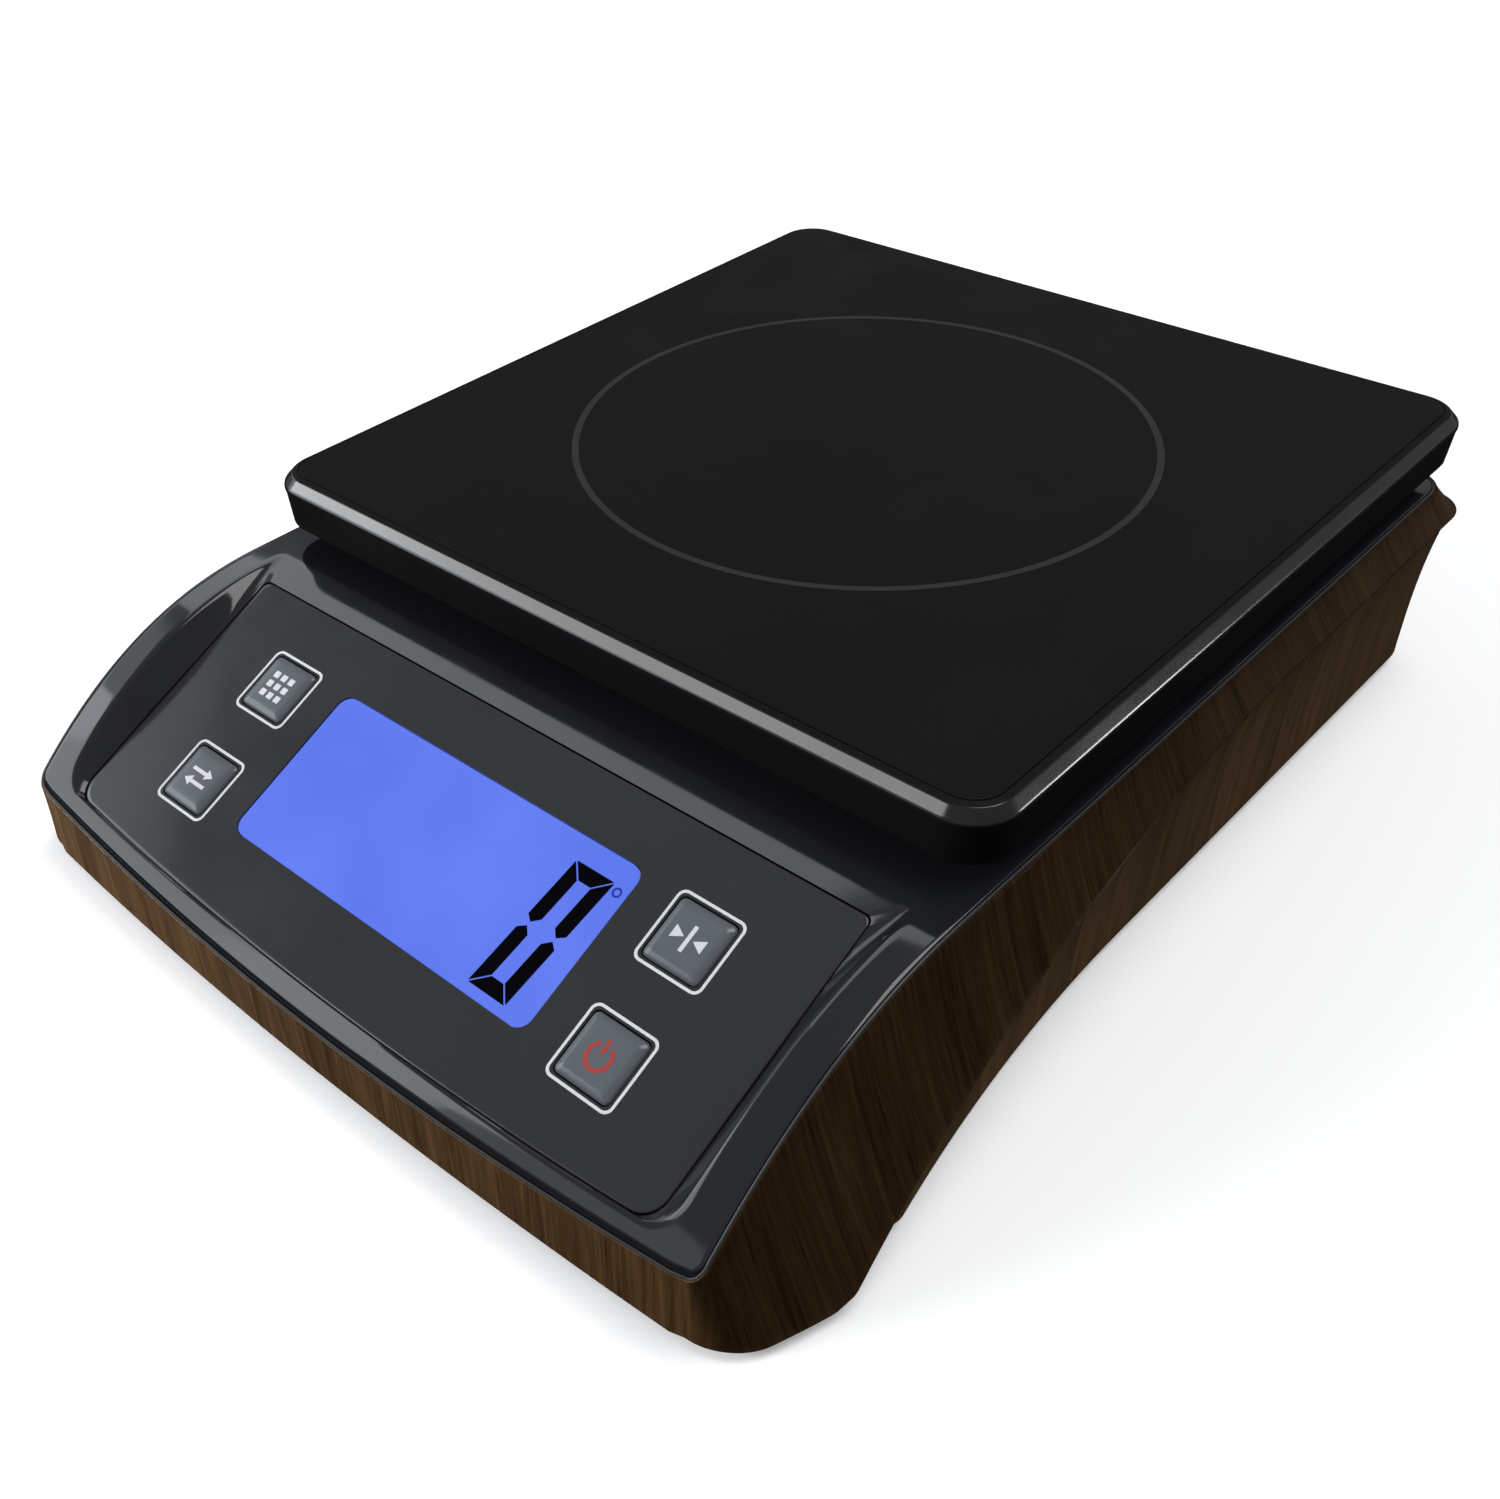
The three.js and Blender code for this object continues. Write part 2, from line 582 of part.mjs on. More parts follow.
const baseScrew = (x) => join(
  post(CELL_SCREW_HEAD, 2.4, 5.6, x, LOAD_Y, 6),
  post(CELL_SCREW_RADIUS, 5, CELL.z0 + 9, x, LOAD_Y, 16),
);

const postScrew = (x) => join(
  post(CELL_SCREW_HEAD, SPIDER_Z[1] + GAP, SPIDER_Z[1] + 4, x, LOAD_Y, 6),
  post(CELL_SCREW_RADIUS, CELL.z1 - 10, SPIDER_Z[1] + 1, x, LOAD_Y, 16),
);

// ---- Power -------------------------------------------------------------------------------
function batteryDoor() {
  const { x, y0, y1 } = BAY;
  const top = CASING_BOTTOM + DOOR_THICKNESS;
  const plate = box(-x + GAP, x - GAP, y0 + 0.5, y1 - GAP, CASING_BOTTOM, top);
  const catchSlots = [-6, 0, 6].map((shift) =>
    box(-7, 7, y1 - 12 + shift * 0.5, y1 - 10.8 + shift * 0.5, 0, CASING_BOTTOM + 0.7));
  return cut(plate, ...catchSlots);
}

const battery = (x) => join(
  rod(BATTERY_RADIUS, BAY.y0 + 2.4, BAY.y1 - 2.8, x, BATTERY_Z),
  rod(2.7, BAY.y1 - 4, BAY.y1 - 1.6, x, BATTERY_Z, 16),
);
const BATTERY_X = [-1.5, -0.5, 0.5, 1.5].map((place) => place * BATTERY_PITCH);

const contactPlate = (y0, y1) => box(-28.5, 28.5, y0, y1, 5, 18.6);
const frontContact = () => join(
  contactPlate(BAY.y0 + GAP, BAY.y0 + 0.8),
  ...BATTERY_X.map((x) => rod(3.2, BAY.y0 + 0.5, BAY.y0 + 2.1, x, BATTERY_Z, 16)),
);
const rearContact = () => contactPlate(BAY.y1 - 0.8, BAY.y1 - GAP);

function powerJack() {
  const body = join(
    rod(JACK.barrel, 120, JACK.face, JACK.x, JACK.z),
    box(JACK.x - JACK.body, JACK.x + JACK.body, 109.5, 121.5, JACK.z - 5.5, JACK.z + 5.5),
  );
  return join(
    cut(body, rod(JACK.bore, 113, 140, JACK.x, JACK.z)),
    rod(JACK.pin, 112, JACK.face - 5, JACK.x, JACK.z, 12),
  );
}

const mainBoard = () => join(
  box(BOARD.x0, BOARD.x1, BOARD.y0, BOARD.y1, BOARD.z, BOARD.z + BOARD_THICKNESS),
  box(-52, -40, 74, 86, BOARD.z + 1, BOARD.z + 4),
  box(-70, -64, 66, 82, BOARD.z + 1, BOARD.z + 7),
  box(-38, -26, 61, 67, BOARD.z + 1, BOARD.z + 6.5),
  post(4, BOARD.z + 1, BOARD.z + 13, -28, 94, 16),
);

// ---- Wiring ------------------------------------------------------------------------------
function wire(points, radius, steps) {
  const path = new THREE.CatmullRomCurve3(points.map((p) => new THREE.Vector3(...p)));
  const round = arc(0, 0, radius, 0, 315, 7).map(([x, y]) => new THREE.Vector2(x, y));
  const section = new THREE.Shape(round);
  return new THREE.ExtrudeGeometry(section, { steps, bevelEnabled: false, extrudePath: path });
}

const displayCable = () => wire([
  [-28, -58.5, 25.2], [-40, -46, 25.5], [-62, -32, 22], [-76, -8, 12],
  [-78, 30, 9], [-78, 60, 11], [-73.5, 72, 14],
], 1.6, 30);

const loadCellCable = () => wire([
  [-20, 50.2, 16], [-20, 54, 15], [-26, 57, 13.5], [-32, 59.4, 14],
], 1.2, 12);

// ---- Assembly ----------------------------------------------------------------------------
const scale = new THREE.Group();
const panel = new THREE.Group();
panel.position.set(0, PANEL_REAR, PANEL_REAR_HEIGHT);
panel.rotation.x = PANEL_TILT;
scale.add(panel);

function place(group, name, geometry, material, position = [0, 0, 0]) {
  const mesh = new THREE.Mesh(geometry, material);
  mesh.name = name;
  mesh.position.set(...position);
  group.add(mesh);
}

place(scale, 'weighing_plate', weighingPlate(), MATERIAL.platform);
place(scale, 'platform_spider', spider(), MATERIAL.aluminium);
place(scale, 'load_cell', loadCell(), MATERIAL.aluminium);
place(scale, 'load_cell_base_block', cellBaseBlock(), MATERIAL.steel);
place(scale, 'load_cell_top_block', cellTopBlock(), MATERIAL.aluminium);
BASE_X.forEach((x, k) => place(scale, `load_cell_base_screw_${k + 1}`, baseScrew(x), MATERIAL.steel));
POST_X.forEach((x, k) => place(scale, `load_cell_top_screw_${k + 1}`, postScrew(x), MATERIAL.steel));
for (const corner of atCorners(PAD_REACH)) {
  place(scale, `spider_pad_${corner.name}`, spiderPad(corner), MATERIAL.rubber);
}
for (const corner of atCorners(STOP_REACH)) {
  place(scale, `overload_stop_${corner.name}`, overloadStop(corner), MATERIAL.steel);
}

place(scale, 'top_cover', topCover(), MATERIAL.deck);
place(scale, 'side_casing', sideCasing(), MATERIAL.wood);
place(scale, 'lower_shell', lowerShell(), MATERIAL.lowerWood);
for (const s of CASING_SCREWS) {
  const screw = join(
    post(SCREW_HEAD_RADIUS, SCREW_HEAD[0], SCREW_HEAD[1], s.x, s.y, 16),
    post(SCREW_RADIUS, SCREW_HEAD[1] - 0.5, s.top, s.x, s.y, 12),
  );
  place(scale, `casing_screw_${s.name}`, screw, MATERIAL.steel);
}
FEET.forEach(([x, y], k) => place(
  scale, `foot_${k + 1}`, post(FOOT_RADIUS, 0, CASING_BOTTOM + 1 - GAP, x, y), MATERIAL.rubber,
));

place(panel, 'display_panel', displayPanel(), MATERIAL.panel);
place(panel, 'lcd_glass', lcdGlass(), MATERIAL.display);
place(panel, 'lcd_cell', lcdCell(), MATERIAL.display);
place(panel, 'backlight', backlight(), MATERIAL.white);
place(panel, 'display_board', displayBoard(), MATERIAL.board);
for (const key of KEYS) {
  place(panel, `key_${key.name}`, keyCap(), MATERIAL.key, [key.x, key.y, 0]);
  place(panel, `key_switch_${key.name}`, tactSwitch(), MATERIAL.plastic, [key.x, key.y, 0]);
}

place(scale, 'battery_door', batteryDoor(), MATERIAL.lowerWood);
BATTERY_X.forEach((x, k) => place(scale, `battery_${k + 1}`, battery(x), MATERIAL.battery));
place(scale, 'battery_contact_front', frontContact(), MATERIAL.steel);
place(scale, 'battery_contact_rear', rearContact(), MATERIAL.steel);
place(scale, 'power_jack', powerJack(), MATERIAL.plastic);
place(scale, 'main_board', mainBoard(), MATERIAL.board);
place(scale, 'display_cable', displayCable(), MATERIAL.cable);
place(scale, 'load_cell_cable', loadCellCable(), MATERIAL.cable);

export default scale;
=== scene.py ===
"""Looks of the counting scale: smooth shells, keys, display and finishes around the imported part.

Lengths are written in millimetres and turned into metres when a mesh is made. +X is right, +Y is
back, +Z is up, and the floor is z = 0.
"""
import json
import math

import bmesh
import bpy
from mathutils import Matrix, Vector


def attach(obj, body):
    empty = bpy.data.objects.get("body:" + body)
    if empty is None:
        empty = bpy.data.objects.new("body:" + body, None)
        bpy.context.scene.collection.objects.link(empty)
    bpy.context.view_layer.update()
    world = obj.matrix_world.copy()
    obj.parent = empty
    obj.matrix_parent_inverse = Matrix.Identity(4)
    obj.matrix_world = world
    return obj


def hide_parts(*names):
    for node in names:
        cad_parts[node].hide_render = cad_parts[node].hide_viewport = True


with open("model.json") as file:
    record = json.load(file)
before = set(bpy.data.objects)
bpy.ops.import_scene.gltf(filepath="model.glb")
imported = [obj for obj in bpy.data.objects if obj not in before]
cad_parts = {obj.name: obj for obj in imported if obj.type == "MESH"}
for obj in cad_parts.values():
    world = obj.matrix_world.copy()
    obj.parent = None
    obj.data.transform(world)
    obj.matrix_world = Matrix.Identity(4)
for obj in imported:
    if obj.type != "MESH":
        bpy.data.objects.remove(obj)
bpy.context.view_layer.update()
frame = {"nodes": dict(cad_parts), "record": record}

MM = 0.001

# ---- Sizes shared with the part -----------------------------------------------------------
GAP = 0.3
DECK_HALF_WIDTH, DECK_REAR, DECK_TOP, DECK_THICKNESS = 93, 126.5, 46, 2.5
DECK_BEND_START, DECK_BEND_RATE, DECK_BEND_POWER = -61.7, 2.62e-3, 2.22
FRONT_EDGE, FRONT_BOW = -130.8, 3.9
FRONT_CORNER, LIP_FRONT_CORNER, REAR_CORNER = 3, 8, 9
CASING_BOTTOM, WALL, FLOOR_THICKNESS = 2, 2.4, 2.5
LIP_TOP, LIP_SWEEP_START, LIP_SWEEP_LENGTH = 39.5, 48, 156
LIP_HALF_WIDTH, LIP_REAR_SPREAD = 97.5, 4.3
HIP_HALF_WIDTH, HIP_Y = 105.9, -104
FRONT_FOOT_HALF_WIDTH, FRONT_FOOT_Y, FOOT_HALF_WIDTH = 98, -127, 94.2
TUCK, TUCK_ENDS = 6.5, (-98, -86)
SPREAD_START, SHELL_REAR_SPREAD, SHELL_MARGIN = 100, 1.3, 1.2
SHELL_SETBACK, SETBACK_ENDS, LOWEST_RIM, RIM_GAP = 3.6, (-125, -112), 8, 0.4
PLATE_HALF_WIDTH, PLATE_HALF_DEPTH, PLATE_Y = 92.8, 94, 36.5
PLATE_TOP, PLATE_BOTTOM, PLATE_CEILING, PLATE_CORNER = 62.46, 50.8, 59.5, 10
PANEL_TILT = math.radians(25)
PANEL_REAR, PANEL_REAR_HEIGHT = -69.5, 44.9
PANEL_HALF_WIDTH, PANEL_LENGTH, PANEL_CORNER, PANEL_THICKNESS = 80.6, 62.9, 5, 1.2
PANEL_REAR_CORNER, PAN_FLOOR_TOP, PAN_FLOOR_BOTTOM = 1.6, -1.5, -3.5
BEZEL_HALF_WIDTH, BEZEL_REAR, BEZEL_FRONT, BEZEL_NARROWING = 85.2, -61.2, -127.3, 1
LCD_WIDTH, LCD_HEIGHT, LCD_Y, LCD_CORNER = 81.8, 35, -29.9, 3
KEY_X, KEY_ROWS, KEY_SIZE = 56.2, {"rear": -18.9, "front": -43.1}, 12.4
PAD_REACH, STOP_REACH, LOAD_Y, POST_X = 66, 50, 37, (44, 58)
BASE_X = (-55, -43)
BAY = {"x": 30.2, "y0": -82.2, "y1": -27.8, "top": 19.7, "wall": 1.8}
CASING_SCREWS = [(-74, -98), (74, -98), (-82, 110), (82, 110)]
FEET = [(-82, -78), (82, -78), (-80, 88), (80, 88)]
FOOT_RADIUS = 7
JACK_X, JACK_Z, JACK_BARREL = -42, 20, 4.4

# ---- Numbers and outlines -----------------------------------------------------------------


def mix(a, b, t):
    return a + (b - a) * t


def clamp(v):
    return min(max(v, 0.0), 1.0)


def ease(v, low, high):
    t = clamp((v - low) / (high - low))
    return t * t * (3 - 2 * t)


def arc(cx, cy, radius, start, end, steps):
    turns = [math.radians(mix(start, end, k / steps)) for k in range(steps + 1)]
    return [(cx + radius * math.cos(a), cy + radius * math.sin(a)) for a in turns]


def steps_between(a, b, count):
    """Points after a and up to b, in equal steps."""
    return [(mix(a[0], b[0], k / count), mix(a[1], b[1], k / count)) for k in range(1, count + 1)]


def mirrored(half):
    """A whole loop from its right half, which runs from the middle front to the middle back."""
    return half + [(-x, y) for x, y in reversed(half[1:-1])]


def inset(points, distance):
    """Moves a closed outline inwards, square to itself."""
    moved = []
    for k, (x, y) in enumerate(points):
        ax, ay = points[k - 1]
        bx, by = points[(k + 1) % len(points)]
        length = math.hypot(bx - ax, by - ay)
        moved.append((x - distance * (by - ay) / length, y + distance * (bx - ax) / length))
    return moved


def rounded_rectangle(half_x, half_y, radius, cx=0.0, cy=0.0, steps=10):
    x, y = half_x - radius, half_y - radius
    return [
        *arc(cx + x, cy - y, radius, -90, 0, steps),
        *arc(cx + x, cy + y, radius, 0, 90, steps),
        *arc(cx - x, cy + y, radius, 90, 180, steps),
        *arc(cx - x, cy - y, radius, 180, 270, steps),
    ]


def circle(cx, cy, radius, count=48):
    return arc(cx, cy, radius, 0, 360, count)[:-1]


# ---- Meshes -------------------------------------------------------------------------------


def loft(rings, capped=True):
    """Vertices and faces of a skin over equal rings; an uncapped one closes on itself."""
    count = len(rings[0])
    bands = len(rings) - 1 if capped else len(rings)
    faces = []
    for band in range(bands):
        low, high = band * count, (band + 1) % len(rings) * count
        for k in range(count):
            n = (k + 1) % count
            faces.append((low + k, low + n, high + n, high + k))
    if capped:
        faces.append(tuple(reversed(range(count))))
        faces.append(tuple((len(rings) - 1) * count + k for k in range(count)))
    return [p for ring in rings for p in ring], faces


def at(loop, z):
    return [(x, y, z) for x, y in loop]


def prism(loop, z0, z1):
    return loft([at(loop, z0), at(loop, z1)])


def block(x0, x1, y0, y1, z0, z1):
    return prism([(x0, y0), (x1, y0), (x1, y1), (x0, y1)], z0, z1)


def lathe(profile, cx, cy, count=48):
    """A solid turned about a vertical axis from (radius, z) pairs."""
    return loft([at(circle(cx, cy, radius, count), z) for radius, z in profile])


def tube(cx, cy, inner, outer, z0, z1):
    """An open round collar."""
    rings = [(inner, z0), (outer, z0), (outer, z1), (inner, z1)]
    return loft([at(circle(cx, cy, radius), z) for radius, z in rings], capped=False)


def band(outer, inner, z0, z1):
    """A flat frame between two loops of the same count."""
    return loft([at(inner, z0), at(outer, z0), at(outer, z1), at(inner, z1)], capped=False)


def rod_along_y(radius, y0, y1, x, z):
    ring = [(x + a, z + b) for a, b in circle(0, 0, radius)]
    return loft([[(px, y, pz) for px, pz in ring] for y in (y0, y1)])


def on_panel(shell):
    """Moves a shell drawn flat on the panel to its sloping place."""
    cos, sin = math.cos(PANEL_TILT), math.sin(PANEL_TILT)
    points, faces = shell
    placed = [(x, PANEL_REAR + y * cos - z * sin, PANEL_REAR_HEIGHT + y * sin + z * cos)
              for x, y, z in points]
    return placed, faces


def to_mesh(name, *shells):
    points, faces = [], []
    for shell_points, shell_faces in shells:
        start = len(points)
        points += [tuple(c * MM for c in p) for p in shell_points]
        faces += [tuple(start + k for k in face) for face in shell_faces]
    mesh = bpy.data.meshes.new(name)
    mesh.from_pydata(points, [], faces)
    bm = bmesh.new()
    bm.from_mesh(mesh)
    bmesh.ops.recalc_face_normals(bm, faces=bm.faces)
    bm.to_mesh(mesh)
    bm.free()
    return mesh


MAP_FLAT_NORMAL, MAP_FRONT_SHIFT = 0.85, 0.5


def add_grain_map(mesh):
    """A box-projected map in metres: across the grain, then along it, up each wall."""
    layer = mesh.uv_layers.get("grain") or mesh.uv_layers.new(name="grain")
    for polygon in mesh.polygons:
        nx, ny, nz = (abs(c) for c in polygon.normal)
        for loop in polygon.loop_indices:
            x, y, z = mesh.vertices[mesh.loops[loop].vertex_index].co
            if nz > MAP_FLAT_NORMAL:
                layer.data[loop].uv = (y, x)
            else:
                layer.data[loop].uv = (y, z) if nx > ny else (x + MAP_FRONT_SHIFT, z)


def show(name, mesh):
    piece = bpy.data.objects.new(name, mesh)
    bpy.context.scene.collection.objects.link(piece)
    return piece


def carved(piece, operation, cutters):
    """Joins shells to a piece or cuts them from it, and keeps the result as its mesh."""
    for shell in cutters:
        tool = show("tool", to_mesh("tool", shell))
        boolean = piece.modifiers.new("carve", "BOOLEAN")
        boolean.operation, boolean.solver, boolean.object = operation, "EXACT", tool
        depsgraph = bpy.context.evaluated_depsgraph_get()
        mesh = bpy.data.meshes.new_from_object(piece.evaluated_get(depsgraph))
        piece.modifiers.clear()
        piece.data = mesh
        bpy.data.objects.remove(tool)
    return piece


def finish_piece(piece, body, material, stands_for=(), sharp=38):
    """Smooth shading, material and body of a new piece, and hides the CAD parts it stands for."""
    piece.data.shade_smooth()
    piece.data.set_sharp_from_angle(angle=math.radians(sharp))
    piece.data.materials.clear()
    piece.data.materials.append(material)
    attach(piece, body)
    if stands_for:
        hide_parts(*stands_for)
    return piece


# ---- Casing surfaces ----------------------------------------------------------------------


def deck_height(y):
    return DECK_TOP - DECK_BEND_RATE * max(0.0, DECK_BEND_START - y) ** DECK_BEND_POWER


def front_edge(x):
    return FRONT_EDGE + FRONT_BOW * (x / DECK_HALF_WIDTH) ** 2


FRONT_STEPS, CORNER_STEPS, SIDE_STEPS, REAR_STEPS = 40, 14, 56, 34


def deck_outline(corner):
    front_x = DECK_HALF_WIDTH - corner
    corner_y = front_edge(DECK_HALF_WIDTH) + corner
    rear_x, rear_y = DECK_HALF_WIDTH - REAR_CORNER, DECK_REAR - REAR_CORNER
    half = [(front_x * k / FRONT_STEPS, front_edge(front_x * k / FRONT_STEPS))
            for k in range(FRONT_STEPS)]
    half += arc(front_x, corner_y, corner, -88, 0, CORNER_STEPS)
    side_end = (DECK_HALF_WIDTH, DECK_BEND_START)
    half += steps_between((DECK_HALF_WIDTH, corner_y), side_end, SIDE_STEPS)
    half += steps_between(side_end, (DECK_HALF_WIDTH, rear_y), REAR_STEPS)
    half += arc(rear_x, rear_y, REAR_CORNER, 0, 90, CORNER_STEPS)[1:]
    half += steps_between((rear_x, DECK_REAR), (0, DECK_REAR), CORNER_STEPS)
    return mirrored(half)


DECK_EDGE = deck_outline(FRONT_CORNER)
LIP_EDGE = deck_outline(LIP_FRONT_CORNER)


def lip_height(y):
    sweep = clamp((LIP_SWEEP_START - y) / LIP_SWEEP_LENGTH)
    return LIP_TOP - (LIP_TOP - CASING_BOTTOM) * sweep ** 2


def lip_half_width(y):
    if y < HIP_Y:
        past = clamp((HIP_Y - y) / (HIP_Y - FRONT_FOOT_Y))
        return mix(HIP_HALF_WIDTH, FRONT_FOOT_HALF_WIDTH, past ** 1.15)
    flare = max(0.0, (LIP_SWEEP_START - y) / (LIP_SWEEP_START - HIP_Y)) ** 2.5
    return mix(LIP_HALF_WIDTH, HIP_HALF_WIDTH, flare)


def skirt_ring(share, inward=0.0, drop=0.0):
    """One ring of the skirt: share 0 is the deck's edge, share 1 the lower lip."""
    spread = share ** 1.2
    edge = [(mix(a[0], b[0], share), mix(a[1], b[1], share)) for a, b in zip(DECK_EDGE, LIP_EDGE)]
    plan = [(x * mix(1, lip_half_width(y) / DECK_HALF_WIDTH, spread),
             y + LIP_REAR_SPREAD * spread * ease(y, SPREAD_START, DECK_REAR)) for x, y in edge]
    return [(x, y, mix(deck_height(along), lip_height(along), share) - drop)
            for (x, y), (_, along) in zip(inset(plan, inward), edge)]


def tucked(y):
    """1 where the shell hides behind the skirt's front, 0 along its sides."""
    return 1 - ease(y, *TUCK_ENDS)


def foot_half_width(y):
    flare = min(max(0.0, (-5 - y) / (-5 - HIP_Y)) ** 2, 1)
    wide = mix(FOOT_HALF_WIDTH, HIP_HALF_WIDTH, flare)
    return mix(wide, lip_half_width(y) - TUCK, tucked(y))


def shell_ring(share, inward=0.0, height=None):
    """One ring of the lower shell: share 0 is the foot, share 1 the rim under the skirt."""
    cove = share ** 3
    plan = []
    for x, y in LIP_EDGE:
        rim = lip_half_width(y) - mix(SHELL_MARGIN, TUCK, tucked(y))
        half_width = mix(foot_half_width(y), rim, cove)
        front = SHELL_SETBACK * (1 - ease(y, *SETBACK_ENDS))
        spread = mix(SHELL_REAR_SPREAD, LIP_REAR_SPREAD - SHELL_MARGIN, cove)
        rear = spread * ease(y, SPREAD_START, DECK_REAR)
        plan.append((x * half_width / DECK_HALF_WIDTH, y + front + rear))
    ring = []
    for (x, y), edge in zip(inset(plan, inward), LIP_EDGE):
        rim = max(lip_height(edge[1]), LOWEST_RIM) - RIM_GAP
        ring.append((x, y, mix(CASING_BOTTOM + 1.2, rim, share) if height is None else height))
    return ring


# ---- Panel outlines, drawn flat ------------------------------------------------------------


def panel_outline(margin):
    """The panel's edge, with as many points on each stretch as the deck's edge has."""
    half_width = PANEL_HALF_WIDTH - margin
    corner_x = half_width - PANEL_CORNER
    bow = FRONT_BOW / math.cos(PANEL_TILT)

    def front(x):
        return -PANEL_LENGTH + margin + bow * (x / DECK_HALF_WIDTH) ** 2

    half = [(corner_x * k / FRONT_STEPS, front(corner_x * k / FRONT_STEPS))
            for k in range(FRONT_STEPS)]
    half += arc(corner_x, front(corner_x) + PANEL_CORNER, PANEL_CORNER, -86, 0, CORNER_STEPS)
    side_end = (half_width, -margin - PANEL_REAR_CORNER)
    half += steps_between(half[-1], side_end, SIDE_STEPS)
    turn = arc(half_width - PANEL_REAR_CORNER, -margin - PANEL_REAR_CORNER, PANEL_REAR_CORNER,
               0, 90, REAR_STEPS + CORNER_STEPS)
    half += turn[1:]
    half += steps_between(turn[-1], (0, -margin), CORNER_STEPS)
    return mirrored(half)


def bezel_loops():
    """The panel opening's edge in the panel's plane, and the edge it slopes up to on the deck."""
    flat = panel_outline(-GAP)
    face, _ = on_panel((at(flat, 0), []))
    front = min(y for _, y, _ in face)
    outer = []
    for x, y, _ in face:
        share = (y - front) / (PANEL_REAR + GAP - front)
        half_width = BEZEL_HALF_WIDTH - BEZEL_NARROWING * (1 - share)
        outer.append((x * half_width / PANEL_HALF_WIDTH, mix(BEZEL_FRONT, BEZEL_REAR, share)))
    return flat, face, outer


def between(low, high, t):
    """A ring part of the way from one ring to another."""
    return [tuple(mix(a, b, t) for a, b in zip(p, q)) for p, q in zip(low, high)]


def on_deck(loop, drop=0.0):
    return [(x, y, deck_height(y) - drop) for x, y in loop]


# ---- Deck and its bezel -------------------------------------------------------------------


def fillet(outside, corner, inside, steps):
    """Rings that round a corner between two rings, leaving out both ends."""
    rings = []
    for k in range(1, steps):
        t = k / steps
        rings.append(between(between(outside, corner, t), between(corner, inside, t), t))
    return rings


COVER_INSET, CHAMFER_INSET = 0.95, 1.4      # the cover's side and its top lie inside the edge
BEZEL_ROUND, SURFACE_RINGS, FILLET_STEPS = 1.1, 14, 6


def deck_shell():
    flat, face, outer = bezel_loops()
    edge = inset(DECK_EDGE, COVER_INSET)
    chamfer = inset(DECK_EDGE, CHAMFER_INSET)
    rim = on_deck(outer)
    slope = [Vector(f) - Vector(r) for f, r in zip(face, rim)]
    radius = [min(BEZEL_ROUND, 0.4 * s.length) for s in slope]
    inside = [tuple(Vector(r) + s * (d / s.length)) for r, s, d in zip(rim, slope, radius)]
    outside = on_deck(inset(outer, -BEZEL_ROUND))
    pan_floor, _ = on_panel((at(flat, PAN_FLOOR_TOP), []))
    pan_under, _ = on_panel((at(inset(flat, -2), PAN_FLOOR_BOTTOM), []))
    surface = [on_deck([tuple(mix(a, b, k / SURFACE_RINGS) for a, b in zip(p, q))
                        for p, q in zip(chamfer, [o[:2] for o in outside])])
               for k in range(1, SURFACE_RINGS)]
    return loft([
        pan_under, on_deck(inset(outer, -2.4), DECK_THICKNESS), on_deck(edge, DECK_THICKNESS),
        on_deck(edge, 0.5), on_deck(inset(DECK_EDGE, 1.05), 0.15), on_deck(chamfer, 0.0),
        *surface, outside, *fillet(outside, rim, inside, FILLET_STEPS), inside,
        *[between(inside, face, t) for t in (0.3, 0.6, 0.9)], face,
        between(face, pan_floor, 0.12), pan_floor,
    ])


def panel_cutters(depth0, depth1, grow, corner):
    """The window and the four key openings, drawn flat."""
    window = rounded_rectangle(LCD_WIDTH / 2 + grow, LCD_HEIGHT / 2 + grow, corner, 0, LCD_Y)
    half = KEY_SIZE / 2 + GAP
    openings = [rounded_rectangle(half, half, 1.3, x, y) for _, x, y in KEYS]
    return [on_panel(prism(loop, depth0, depth1)) for loop in (window, *openings)]


KEYS = [(f"{row}_{side}", x, y) for row, y in KEY_ROWS.items()
        for side, x in (("left", -KEY_X), ("right", KEY_X))]


def corners(reach):
    return [(x * reach, PLATE_Y + y * reach) for x in (-1, 1) for y in (-1, 1)]


POST_OPENING = (16, 13, 2)              # half width, half depth and corner
STOP_HOLE_RADIUS, DECK_CUT = 2.3, (38, 50)
PAN_CUT, PAN_WINDOW_GROW, PAN_WINDOW_CORNER = (-8, 3), -1.5, 2
SHEET_CUT, SHEET_WINDOW_GROW = (-5, 2), GAP / 2


def build_top_cover():
    cover = show("top_cover_shell", to_mesh("top_cover_shell", deck_shell()))
    post_opening = rounded_rectangle(*POST_OPENING, sum(POST_X) / 2, LOAD_Y)
    holes = [prism(post_opening, *DECK_CUT)]
    holes += [prism(circle(x, y, STOP_HOLE_RADIUS), *DECK_CUT) for x, y in corners(STOP_REACH)]
    cutters = panel_cutters(*PAN_CUT, PAN_WINDOW_GROW, PAN_WINDOW_CORNER)
    return carved(cover, "DIFFERENCE", [*cutters, *holes])


# ---- Wood-look casing ----------------------------------------------------------------------


def build_skirt():
    shares = [k / 26 for k in range(1, 26)]
    rings = [
        skirt_ring(0, 0.9, 0.6), skirt_ring(0, 0.9, 2.9), skirt_ring(0, WALL, 2.9),
        skirt_ring(0.6, WALL), skirt_ring(1, WALL), skirt_ring(1, 0.5),
        skirt_ring(1, 0.15, -0.12), skirt_ring(1, 0, -0.45),
        *[skirt_ring(share) for share in reversed(shares)],
        skirt_ring(0, 0, 0.7), skirt_ring(0, 0.06, 0.4), skirt_ring(0, 0.2, 0.3),
        skirt_ring(0, 0.4, 0.5),
    ]
    return show("skirt", to_mesh("skirt", loft(rings, capped=False)))


